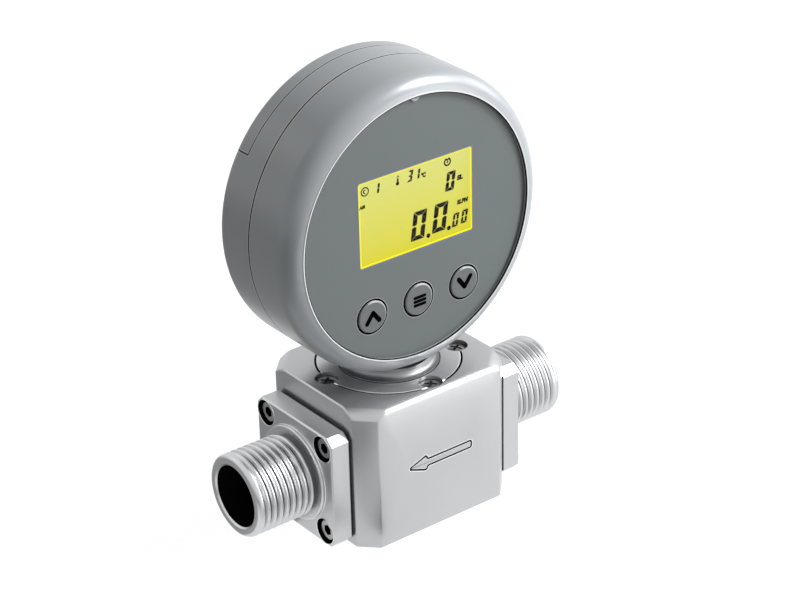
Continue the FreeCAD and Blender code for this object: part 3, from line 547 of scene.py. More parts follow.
def flat_arc(bm: Mesh, centre: Vector, radii: Point, height: float, start: float, sweep: float) -> None:
    """Add a thin square-edged band that runs part of the way round an upright axis.

    Args:
        bm: The mesh to add it to.
        centre: The point of the axis at the band's foot.
        radii: Its inner and outer radius, in millimetres.
        height: Its height, in millimetres.
        start: Where it starts, in degrees from X towards Y.
        sweep: How far it runs, in degrees.
    """
    arm = X_AXIS * math.cos(math.radians(start)) + Y_AXIS * math.sin(math.radians(start))
    corners = [(radii[0], 0.0), (radii[1], 0.0), (radii[1], height), (radii[0], height)]
    verts = [bm.verts.new(centre + (arm * radius + Z_AXIS * level) * MM) for radius, level in corners]
    face = bm.faces.new(verts)
    bmesh.ops.spin(bm, geom=[*verts, *face.edges, face], cent=centre, axis=Z_AXIS, angle=math.radians(sweep),
                   steps=max(4, round(sweep / 2.0)))
    bmesh.ops.recalc_face_normals(bm, faces=bm.faces)


def cut_off(bm: Mesh, place: float, outward: float) -> None:
    """Cut away what lies past a place along the flow, where outward is 1 or -1 for the side that goes."""
    bmesh.ops.bisect_plane(bm, geom=bm.verts[:] + bm.edges[:] + bm.faces[:], dist=MERGE_DISTANCE,
                           plane_co=X_AXIS * place, plane_no=X_AXIS * outward, clear_outer=True)


def quarter_round(along: float, radius: float, size: float, steps: int) -> list[Point]:
    """Return the points of a quarter round about a centre, from above it to beside it, less the first."""
    angles = [math.pi / 2.0 * step / steps for step in range(1, steps + 1)]
    return [(along + size * math.sin(angle), radius + size * math.cos(angle)) for angle in angles]


def smooth_step(value: float) -> float:
    """Ease a value between 0 and 1."""
    clamped = min(1.0, max(0.0, value))
    return clamped * clamped * (3.0 - 2.0 * clamped)


@dataclass
class PipeAdapter:
    """One pipe adapter: the square flange as modelled, with a real helical thread on its nipple."""

    FLANGE, THREAD, BORE, ROOT = range(4)

    name: str
    side: float
    palette: Palette
    head_below_face: float = 0.7 * MM
    bore_radius: float = 7.85 * MM
    mouth_chamfer: float = 0.4 * MM
    base_radius: float = 12.2 * MM
    base_height: float = 0.45 * MM
    flare: float = 0.45 * MM
    relief_radius: float = 9.6 * MM
    relief_length: float = 0.55 * MM
    major_radius: float = 10.4775 * MM
    nose_radius: float = 1.2 * MM
    pitch: float = 1.814 * MM
    thread_depth: float = 0.92 * MM
    sharpness: float = 1.6
    rows_per_pitch: int = 28
    steps: int = 144
    stub: float = 0.01 * MM
    slack: float = 0.02 * MM
    screw_place: float = 11.4 * MM
    sink_radius: float = 3.32 * MM
    sink_edge_radius: float = 3.4 * MM
    recess_radius: float = 1.5 * MM
    recess_depth: float = 2.2 * MM

    def __post_init__(self) -> None:
        """Work out the places along the flow axis from the frame."""
        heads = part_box(f"{self.name}_flange_screws")
        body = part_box(f"{self.name}_adapter")
        self.face_x = max(abs(heads[0].x), abs(heads[1].x)) + self.head_below_face
        self.end_x = max(abs(body[0].x), abs(body[1].x))
        self.base_top = self.face_x + self.base_height
        self.flare_end = self.base_top + self.flare
        self.thread_start = self.flare_end + self.relief_length
        self.nose_start = self.end_x - self.nose_radius
        self.thread_middle = (self.thread_start + self.nose_start) / 2.0
        self.root_radius = self.major_radius - self.thread_depth * 0.8

    def outline(self) -> list[Point]:
        """Return the nipple's closed outline as (distance from the middle, radius)."""
        return [(self.face_x, self.bore_radius), (self.face_x, self.base_radius),
                (self.base_top, self.base_radius),
                *quarter_round(self.base_top, self.base_radius - self.flare, self.flare, 8),
                (self.flare_end, self.relief_radius), (self.thread_start, self.relief_radius),
                (self.nose_start, self.major_radius),
                *quarter_round(self.nose_start, self.major_radius - self.nose_radius, self.nose_radius, 12),
                (self.end_x, self.bore_radius + self.mouth_chamfer),
                (self.end_x - self.mouth_chamfer, self.bore_radius)]

    def radius_at(self, along: float, groove: float) -> float:
        """Find the thread's radius, with the groove fading out at both ends.

        Args:
            along: The place's distance from the meter's middle.
            groove: 0 on a crest and 1 in the root.

        Returns:
            The radius in metres.
        """
        lead_in = smooth_step((along - self.thread_start) / (0.5 * self.pitch))
        run_out = smooth_step((self.nose_start - along) / (0.6 * self.pitch))
        run_in = (1.0 - lead_in) * (self.major_radius - self.relief_radius)
        return self.major_radius - self.thread_depth * groove * lead_in * run_out - run_in

    def one_turn(self, start: float) -> bpy.types.Mesh:
        """Sweep one turn of the thread from a place along the flow axis and return it."""
        bm = bmesh.new()
        verts = []
        for row in range(self.rows_per_pitch + 1):
            share = row / self.rows_per_pitch
            groove = (0.5 + 0.5 * math.cos(FULL_TURN * share)) ** self.sharpness
            radius = self.major_radius - self.thread_depth * groove
            verts.append(bm.verts.new((start + self.pitch * (share - 0.5), 0.0, FLOW_AXIS_Z + radius)))
        edges = [bm.edges.new(pair) for pair in zip(verts, verts[1:])]
        bmesh.ops.spin(bm, geom=verts + edges, cent=FLOW_CENTRE, axis=X_AXIS,
                       dvec=X_AXIS * (self.pitch / self.steps), angle=FULL_TURN, steps=self.steps)
        turn = bpy.data.meshes.new("one_turn")
        bm.to_mesh(turn)
        bm.free()
        return turn

    def helix(self) -> Mesh:
        """Repeat one turn of the thread along the nipple, fade it and cut it off square at both ends."""
        turns = math.ceil((self.nose_start - self.thread_start) / self.pitch) + 2
        turn = self.one_turn(self.side * self.thread_middle - self.pitch * turns / 2.0)
        bm = bmesh.new()
        for _ in range(turns):
            bm.from_mesh(turn)
            turn.transform(Matrix.Translation(X_AXIS * self.pitch))
        bpy.data.meshes.remove(turn)
        bmesh.ops.remove_doubles(bm, verts=bm.verts, dist=TURN_MERGE_DISTANCE)
        for vert in bm.verts:
            across = Vector((0.0, vert.co.y, vert.co.z - FLOW_AXIS_Z))
            groove = (self.major_radius - across.length) / self.thread_depth
            across *= self.radius_at(abs(vert.co.x), groove) / across.length
            vert.co.y = across.y
            vert.co.z = across.z + FLOW_AXIS_Z
        cut_off(bm, self.side * (self.thread_start + 2.0 * self.stub), -self.side)
        cut_off(bm, self.side * (self.nose_start - 2.0 * self.stub), self.side)
        return bm

    def nipple(self) -> Mesh:
        """Turn the nipple's plain parts, join the thread between them and return both."""
        bm = lathe([(self.side * x, radius) for x, radius in self.outline()], self.steps)
        gap = []
        for face in bm.faces:
            middle = face.calc_center_median()
            outside = off_axis(middle) > self.relief_radius * 0.95
            if outside and abs(abs(middle.x) - self.thread_middle) < self.stub:
                gap.append(face)
        bmesh.ops.delete(bm, geom=gap, context="FACES")
        add_mesh(bm, self.helix())
        for place in (self.thread_start, self.nose_start):
            rims = [edge for edge in open_edges(bm) if abs(abs(edge.verts[0].co.x) - place) < MM * 0.1]
            bmesh.ops.bridge_loops(bm, edges=rims)
        bmesh.ops.recalc_face_normals(bm, faces=bm.faces)
        for face in bm.faces:
            middle = face.calc_center_median()
            radius = off_axis(middle)
            face.material_index = self.THREAD
            if radius < self.bore_radius + self.slack:
                face.material_index = self.BORE
            # Faces in the thread's roots get the painted shade.
            elif radius < self.root_radius and self.flare_end - MM * 0.2 < abs(middle.x) < self.nose_start:
                face.material_index = self.ROOT
        return bm

    def from_screw(self, place: Vector) -> float:
        """Return a place's distance from the nearest screw's axis."""
        return math.hypot(abs(place.y) - self.screw_place, abs(place.z - FLOW_AXIS_Z) - self.screw_place)

    def flange(self) -> Mesh:
        """Return the flange, cut from the CAD adapter just outside its face and closed there."""
        bm = cad_copy(f"{self.name}_adapter")
        cut_off(bm, self.side * (self.face_x + self.stub), self.side)
        bmesh.ops.bridge_loops(bm, edges=open_edges(bm))
        for face in bm.faces:
            middle = face.calc_center_median()
            sunk = self.from_screw(middle) < self.sink_radius and abs(middle.x) < self.face_x - MM * 0.05
            if sunk or off_axis(middle) < self.bore_radius + self.slack:
                face.material_index = self.BORE
        return bm

    def screws(self) -> None:
        """Copy the flange's screws and paint shade inside their hexagon recesses."""
        bm = cad_copy(f"{self.name}_flange_screws")
        front = self.face_x - self.head_below_face
        for face in bm.faces:
            middle = face.calc_center_median()
            # The recess walls get the painted shade.
            if self.from_screw(middle) < self.recess_radius:
                face.material_index = int(front - self.recess_depth < abs(middle.x) < front - MM * 0.03)
        piece_from(bm, f"{self.name}_socket_screws", [self.palette.head_steel, self.palette.ink_and_painted_shade],
                   stands_for=(f"{self.name}_flange_screws",))

    def cut_edges(self) -> None:
        """Add the bright edges of the counterbores and of the nipple's base."""
        bm = bmesh.new()
        middle = Vector((self.side * self.face_x, 0.0, FLOW_AXIS_Z))
        for y in (-self.screw_place, self.screw_place):
            for height in (-self.screw_place, self.screw_place):
                round_ring(bm, middle + Vector((0.0, y, height)), self.sink_edge_radius, 0.11 * MM)
        round_ring(bm, middle, self.base_radius, 0.13 * MM)
        piece_from(bm, f"{self.name}_counterbore_edges", [self.palette.lip])

    def build(self) -> None:
        """Make the flange and the nipple as one piece, and dress what holds it."""
        bm = self.nipple()
        add_mesh(bm, self.flange())
        paint = self.palette
        piece_from(bm, f"{self.name}_adapter_threaded", [paint.flange, paint.thread, paint.bore, paint.root],
                   stands_for=(f"{self.name}_adapter",))
        dress(paint.rubber, f"{self.name}_gasket")
        self.screws()
        self.cut_edges()


@dataclass
class FlowBlock:
    """The milled block with the flow arrow engraved in its front."""

    BLOCK, LIP, GROOVE = range(3)

    palette: Palette
    arrow_height: float = 18.75 * MM
    tip_x: float = -10.0 * MM
    barb_x: float = -4.45 * MM
    neck_x: float = -4.15 * MM
    tail_x: float = 9.5 * MM
    barb_half: float = 2.0 * MM
    shaft_half: float = 0.93 * MM
    corner: float = 0.5 * MM
    tip_corner: float = 1.1 * MM
    # The groove's section as (offset from its middle line, depth) in millimetres; the flat bands at depth 0 on
    # either side are its lips, which carry the painted highlight.
    profile: tuple[Point, ...] = (
        (-0.34, 0.0), (-0.25, 0.0), (-0.23, 0.25), (0.23, 0.25), (0.25, 0.0), (0.44, 0.0))

    def rounded_arrow(self, front: float) -> list[Vector]:
        """Return the middle line of the groove on the block's front, with rounded corners."""
        half = [(self.tip_x, 0.0), (self.barb_x, self.barb_half), (self.neck_x, self.shaft_half),
                (self.tail_x, self.shaft_half)]
        bm = bmesh.new()
        points = half + [(x, -z) for x, z in reversed(half[1:])]
        verts = [bm.verts.new((x, front, self.arrow_height + z)) for x, z in points]
        bm.faces.new(verts)
        for corners, size in ((verts[1:], self.corner), (verts[:1], self.tip_corner)):
            bmesh.ops.bevel(bm, geom=corners, affect="VERTICES", offset=size, offset_type="OFFSET", segments=6,
                            profile=0.5, material=-1)
        bm.faces.ensure_lookup_table()
        outline = [corner.vert.co.copy() for corner in bm.faces[0].loops]
        bm.free()
        return outline

    def line(self, bm: Mesh, outline: list[Vector], outward: float, depth: float) -> list[bmesh.types.BMVert]:
        """Add the points of one closed line of the groove.

        Args:
            bm: The block's mesh.
            outline: The groove's middle line.
            outward: How far outside the middle line it runs.
            depth: How far it lies below the block's front.

        Returns:
            The line's points.
        """
        verts = []
        for before, here, after in zip(outline[-1:] + outline[:-1], outline, outline[1:] + outline[:1]):
            sides = [(here - before).normalized().cross(Y_AXIS), (after - here).normalized().cross(Y_AXIS)]
            normal = (sides[0] + sides[1]).normalized()
            reach = outward / max(0.5, normal.dot(sides[0]))
            verts.append(bm.verts.new(here + normal * reach + Y_AXIS * depth))
        return verts

    def build(self) -> None:
        """Make the block and engrave the arrow in its front face."""
        bm = cad_copy("flow_block")
        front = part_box("flow_block")[0].y
        flat = [face for face in bm.faces
                if face.normal.y < -0.999 and face.calc_center_median().y < front + MM * 0.01]
        bmesh.ops.delete(bm, geom=flat, context="FACES")
        rim = open_edges(bm)
        outline = self.rounded_arrow(front)
        lines = [self.line(bm, outline, outward * MM, depth * MM) for outward, depth in self.profile]
        for index, (first, second) in enumerate(zip(lines, lines[1:])):
            material = self.LIP if index in (0, len(lines) - 2) else self.GROOVE
            for corners in zip(first, first[1:] + first[:1], second[1:] + second[:1], second):
                bm.faces.new(corners).material_index = material
        inner, outer = lines[0], lines[-1]
        edges = [bm.edges.get(pair) for pair in zip(outer, outer[1:] + outer[:1])]
        bmesh.ops.triangle_fill(bm, use_beauty=True, use_dissolve=False, edges=rim + edges)
        bm.faces.new(inner).material_index = self.BLOCK
        bmesh.ops.recalc_face_normals(bm, faces=bm.faces)
        paint = self.palette
        piece_from(bm, "flow_block_engraved", [paint.block, paint.painted_highlight, paint.engraved],
                   stands_for=("flow_block",))


@dataclass
class SensorInsert:
    """The sensor disc, its screws, and the probe with its chip below it.

    Each arc of the seam is given by its start and end in degrees, and by how far its dark line and its bright
    line reach from the disc's edge, in millimetres. The dark line is the joint, drawn wider on some sides as
    painted shade; the bright line is a painted highlight.
    """

    palette: Palette
    neck_radius: float = 12.52
    seam_shade_and_highlight_arcs: tuple[tuple[float, float, float, float], ...] = (
        (-77.0, -29.0, 0.5, 0.22), (-7.0, 82.0, 0.3, 0.2), (102.0, 163.0, 0.5, 0.2), (189.0, 259.0, 0.16, 0.5))

    def seams(self) -> None:
        """Draw the seam round the disc between its screws, the painted highlight along its edge and the line
        round the neck.
        """
        low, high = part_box("sensor_disc")
        radius = (high.x - low.x) / 2.0 / MM
        top = Z_AXIS * high.z
        foot = top - Z_AXIS * (0.1 * MM)
        seam, edge = bmesh.new(), bmesh.new()
        for start, end, dark, bright in self.seam_shade_and_highlight_arcs:
            flat_arc(seam, foot, (radius - 0.02, radius + dark), 0.112, start, end - start)
            flat_arc(edge, foot, (radius - bright, radius - 0.02), 0.116, start, end - start)
        flat_ring(Z_AXIS, top, (self.neck_radius, self.neck_radius + 0.22), (-0.05, 0.012), seam)
        piece_from(seam, "disc_seam_line", [self.palette.ink_and_painted_shade])
        piece_from(edge, "disc_edge_line", [self.palette.painted_highlight])

    def build(self) -> None:
        """Dress the pieces of the insert."""
        paint = self.palette
        self.seams()
        dress(paint.disc, "sensor_disc")
        dress(paint.dark_steel, "sensor_screws")
        dress(paint.probe, "sensor_probe")
        dress(paint.chip, "sensor_chip")
        dress(paint.rubber, "probe_oring")
        dress(paint.board, "sensor_board")
        dress(paint.film, "sensor_ribbon")
        dress(paint.plated, "flow_straightener", "neck_nut")
        dress(paint.neck, "neck")


@dataclass
class DisplayHead:
    """The moulded housings, the battery door and what closes them."""

    palette: Palette
    seam_y: float = 1.95
    seam_radii: Point = (37.1, 37.64)
    seam_width: float = 0.2

    def build(self) -> None:
        """Dress the pieces of the head."""
        paint = self.palette
        dress(paint.housing, "front_housing", "rear_housing", "battery_door")
        dress(paint.dark_steel, "housing_screws")
        dress(paint.rubber, "housing_seal")
        centre = Vector((0.0, self.seam_y * MM, head_axis()))
        seam = flat_ring(Y_AXIS, centre, self.seam_radii, (0.0, self.seam_width))
        piece_from(seam, "housing_seam_line", [paint.ink_and_painted_shade])


class FlatArt:
    """Flat shapes drawn on the face as (x, height above the head's axis), then given a thickness."""

    def __init__(self) -> None:
        """Start an empty drawing."""
        self.bm = bmesh.new()

    def polygon(self, points: list[Point], corner: float = 0.0) -> None:
        """Add a filled outline, with its corners rounded if a size is given."""
        verts = [self.bm.verts.new((x, y, 0.0)) for x, y in points]
        self.bm.faces.new(verts)
        if corner:
            bmesh.ops.bevel(self.bm, geom=verts, affect="VERTICES", offset=corner, offset_type="OFFSET",
                            segments=3, profile=0.5, material=-1)

    def box(self, left: float, right: float, bottom: float, top: float) -> None:
        """Add a filled rectangle."""
        self.polygon([(left, bottom), (right, bottom), (right, top), (left, top)])

    def border(self, outer: Corners, inner: Corners) -> None:
        """Fill what lies between two rectangles, each given as left, right, bottom and top."""
        left, right, bottom, top = inner
        self.box(outer[0], left, outer[2], outer[3])
        self.box(right, outer[1], outer[2], outer[3])
        self.box(left, right, outer[2], bottom)
        self.box(left, right, top, outer[3])

    def bar(self, start: Point, end: Point, width: float) -> None:
        """Add a straight stroke with round ends."""
        first = Vector((*start, 0.0))
        run = Vector((*end, 0.0)) - first
        ring = bmesh.ops.create_circle(self.bm, cap_ends=True, segments=24, radius=width / 2.0)["verts"]
        for vert in ring:
            if vert.co.dot(run) > 0.0:
                vert.co += run
            vert.co += first

    def dot(self, centre: Point, width: float) -> None:
        """Add a round dot."""
        self.bar(centre, (centre[0] + 0.01, centre[1]), width)

    def ring(self, centre: Point, radius: float, width: float, start: float = 0.0,
             sweep: float = 360.0) -> None:
        """Add a ring or an arc of a ring.

        Args:
            centre: The ring's centre.
            radius: Its radius, to the middle of the stroke.
            width: The stroke's width.
            start: Where an arc starts, in degrees.
            sweep: How far it runs.
        """
        angle = math.radians(start)
        middle = Vector((*centre, 0.0))
        arm = Vector((math.cos(angle), math.sin(angle), 0.0))
        ends = [self.bm.verts.new(middle + arm * (radius + side * width / 2.0)) for side in (-1.0, 1.0)]
        edge = self.bm.edges.new(ends)
        bmesh.ops.spin(self.bm, geom=ends + [edge], cent=middle, axis=Z_AXIS, angle=math.radians(sweep),
                       steps=max(6, round(abs(sweep) / 10.0)), use_merge=sweep == 360.0)

    def words(self, text: str, low: Point, high: Point, weight: float = 0.07) -> None:
        """Add a short unit sign that fills a box.

        Args:
            text: The sign.
            low: The box's lower left corner.
            high: Its upper right corner.
            weight: How much the strokes are thickened, as a share of the letter's height.
        """
        curve = bpy.data.curves.new(text, "FONT")
        curve.body = text
        curve.shear = 0.15
        curve.offset = weight
        sign = bpy.data.objects.new(text, curve)
        mesh = bpy.data.meshes.new_from_object(sign)
        xs = [vert.co.x for vert in mesh.vertices]
        ys = [vert.co.y for vert in mesh.vertices]
        scale_x = (high[0] - low[0]) / (max(xs) - min(xs))
        scale_y = (high[1] - low[1]) / (max(ys) - min(ys))
        place = Matrix.Translation((*low, 0.0)) @ Matrix.Diagonal((scale_x, scale_y, 1.0, 1.0))
        mesh.transform(place @ Matrix.Translation((-min(xs), -min(ys), 0.0)))
        self.bm.from_mesh(mesh)
        bpy.data.meshes.remove(mesh)
        bpy.data.objects.remove(sign)

    def piece(self, name: str, back_y: float, thickness: float, material: Material,
              body: Body = Body.METER) -> None:
        """Thicken the drawing, stand it on the face and make it a piece.

        Args:
            name: The piece's name.
            back_y: The surface that it lies on, in metres.
            thickness: Its thickness, in metres.
            material: Its finish.
            body: The body that it rides on.
        """
        bmesh.ops.scale(self.bm, vec=(MM, MM, MM), verts=self.bm.verts)
        bmesh.ops.remove_doubles(self.bm, verts=self.bm.verts, dist=MERGE_DISTANCE)
        grown = bmesh.ops.extrude_face_region(self.bm, geom=self.bm.faces[:], use_keep_orig=True)["geom"]
        lifted = [item for item in grown if isinstance(item, bmesh.types.BMVert)]
        bmesh.ops.translate(self.bm, vec=Z_AXIS * thickness, verts=lifted)
        bmesh.ops.recalc_face_normals(self.bm, faces=self.bm.faces)
        stand = Matrix.Translation((0.0, back_y, head_axis())) @ Matrix.Rotation(math.pi / 2.0, 4, "X")
        bmesh.ops.transform(self.bm, matrix=stand, verts=self.bm.verts)
        piece_from(self.bm, name, [material], body)


@dataclass(frozen=True)
class Digit:
    """One seven segment digit, in millimetres from the head's axis."""

    left: float
    low: float
    width: float
    height: float
    stroke: float
    slant: float = 0.155
    gap: float = 0.07
    lit: str = "abcdef"

    def segment(self, letter: str) -> list[Point]:
        """Return one segment's outline, upright, from the digit's lower left corner."""
        wide, high, thick, gap = self.width, self.height, self.stroke, self.gap
        level = thick * 0.85
        middle = high / 2.0
        low_end = middle + gap
        upright = [(0.0, high - gap), (thick, high - level - gap), (thick, low_end + thick * 0.25),
                   (thick * 0.5, low_end), (0.0, low_end + thick * 0.2)]
        top = [(gap, high), (wide - gap, high), (wide - thick - gap, high - level), (thick + gap, high - level)]
        outlines = {
            "a": top,
            "g": [(thick + gap, middle + level / 2.0), (wide - thick - gap, middle + level / 2.0),
                  (wide - thick * 0.6, middle), (wide - thick - gap, middle - level / 2.0),
                  (thick + gap, middle - level / 2.0), (thick * 0.6, middle)],
            "f": upright,
            "b": [(wide - x, y) for x, y in upright],
            "e": [(x, high - y) for x, y in upright],
            "c": [(wide - x, high - y) for x, y in upright],
            "d": [(x, high - y) for x, y in top],
        }
        return outlines[letter]

    def draw(self, art: FlatArt) -> None:
        """Draw the lit segments."""
        for letter in self.lit:
            points = [(self.left + x + y * self.slant, self.low + y) for x, y in self.segment(letter)]
            art.polygon(points, corner=self.stroke * 0.1)


@dataclass
class FacePanel:
    """The front panel, the window and everything that the display shows, in millimetres."""

    palette: Palette
    digits: tuple[Digit, ...] = (
        Digit(-0.95, -4.24, 4.0, 7.28, 1.32),
        Digit(5.4, -4.13, 4.05, 7.24, 1.32),
        Digit(11.4, -4.36, 1.75, 3.45, 0.66, slant=0.2, gap=0.05),
        Digit(14.1, -4.18, 1.75, 3.4, 0.66, slant=0.2, gap=0.05),
        Digit(9.55, 5.5, 2.6, 4.8, 0.98, gap=0.06),
        Digit(-1.75, 11.3, 1.5, 2.8, 0.56, slant=0.21, gap=0.04, lit="abcdg"),
    )
    ones: tuple[Point, ...] = ((-10.4, 11.25), (1.42, 11.4))
    dots: tuple[Point, ...] = ((4.36, -4.2), (10.55, -4.14))
    units: tuple[tuple[str, Point, Point], ...] = (
        ("SL", (13.15, 7.4), (15.0, 8.7)),
        ("SLPM", (13.1, 1.1), (16.5, 2.35)),
        ("°C", (2.55, 11.15), (3.95, 12.5)),
    )
    glow_left: float = 0.45
    glow_right: float = 0.42
    glow_low: float = 0.55
    glow_high: float = 0.3
    side_light: float = 0.85
    outline_gap: float = 0.04
    outline_width: float = 0.26
    ink_thickness: float = 0.03 * MM
    outline_thickness: float = 0.015 * MM

    def glyphs(self) -> None:
        """Draw the digits, the dots, the signs and the unit names on the display cell."""
        art = FlatArt()
        for digit in self.digits:
            digit.draw(art)
        for x, y in self.ones:
            self.one_stroke(art, x, y)
            self.one_stroke(art, x + 0.2, y + 1.25)
        for centre in self.dots:
            art.dot(centre, 1.15)
        self.flow_sign(art, (-13.85, 12.65))
        self.thermometer(art, (-4.4, 12.0))
        self.totaliser(art, (10.4, 13.05))
        for text, low, high in self.units:
            art.words(text, low, high)
        art.piece("display_glyphs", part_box("display_cell")[0].y, self.ink_thickness, self.palette.ink_and_painted_shade)
        gas = FlatArt()
        gas.words("AIR", (-16.55, 9.2), (-14.7, 10.1), 0.05)
        gas.piece("gas_sign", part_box("display_window")[0].y, self.ink_thickness * 1.5, self.palette.ink_and_painted_shade)

    def one_stroke(self, art: FlatArt, x: float, y: float) -> None:
        """Draw one of the two slanted strokes of a figure one."""
        art.polygon([(x, y), (x + 0.58, y), (x + 0.75, y + 1.1), (x + 0.17, y + 1.1)])

    def flow_sign(self, art: FlatArt, centre: Point) -> None:
        """Draw a ring with a swirl in it."""
        art.ring(centre, 1.02, 0.3)
        art.ring(centre, 0.4, 0.3, start=60.0, sweep=230.0)

    def thermometer(self, art: FlatArt, centre: Point) -> None:
        """Draw a thermometer, bulb down."""
        x, y = centre
        art.dot((x, y - 0.1), 0.95)
        art.bar((x, y), (x + 0.1, y + 1.0), 0.5)
        art.ring((x + 0.16, y + 1.5), 0.26, 0.2, start=-20.0, sweep=220.0)

    def totaliser(self, art: FlatArt, centre: Point) -> None:
        """Draw a round sign with two ears and a dot in it."""
        x, y = centre
        art.ring(centre, 0.88, 0.4, start=122.0, sweep=296.0)
        for side in (-0.46, 0.46):
            art.bar((x + side, y + 0.78), (x, y + 0.42), 0.4)
        art.dot((x, y - 0.1), 0.5)

    def window_frame(self) -> None:
        """Add the glow along the window's edges and the thin line round it."""
        low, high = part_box("display_window")
        left, right = low.x / MM, high.x / MM
        bottom, top = (low.z - head_axis()) / MM, (high.z - head_axis()) / MM
        lit = (left + self.glow_left, right - self.glow_right, bottom + self.glow_low, top - self.glow_high)
        glow = FlatArt()
        glow.border((left, right, bottom, top), lit)
        glow.piece("window_edge_glow", low.y, self.ink_thickness, self.palette.glow)
        light = FlatArt()
        light.box(right - self.side_light, *lit[1:])
        light.piece("window_side_light", low.y, self.ink_thickness * 0.8, self.palette.display)
        sides = (-1.0, 1.0, -1.0, 1.0)
        inner = tuple(place + side * self.outline_gap for place, side in zip((left, right, bottom, top), sides))
        outer = tuple(place + side * self.outline_width for place, side in zip(inner, sides))
        line = FlatArt()
        line.border(outer, inner)
        line.piece("window_outline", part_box("face_panel")[0].y, self.outline_thickness, self.palette.outline)

    def edge_lines(self) -> None:
        """Add a black ring as painted shadow in the gap round the panel, a light lining as painted light on the
        bezel's inner wall, and a bright ring as painted highlight on the bezel's edge beside it.
        """
        centre = Vector((0.0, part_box("face_panel")[0].y, head_axis()))
        for name, radii, levels, material in (
                ("bezel_seal", (32.88, 33.1), (-0.88, -0.66), self.palette.ink_and_painted_shade),
                ("bezel_wall", (33.0, 33.1), (-0.66, -0.05), self.palette.rim),
                ("bezel_edge", (33.12, 33.4), (-1.02, -0.6), self.palette.edge)):
            piece_from(flat_ring(Y_AXIS, centre, radii, levels), name, [material])

    def build(self) -> None:
        """Dress the panel, the window and the display, and draw what the display shows."""
        paint = self.palette
        dress(paint.panel, "face_panel")
        dress(paint.window, "display_window")
        dress(paint.display, "display_cell")
        dress(paint.diffuser, "backlight")
        self.glyphs()
        self.window_frame()
        self.edge_lines()


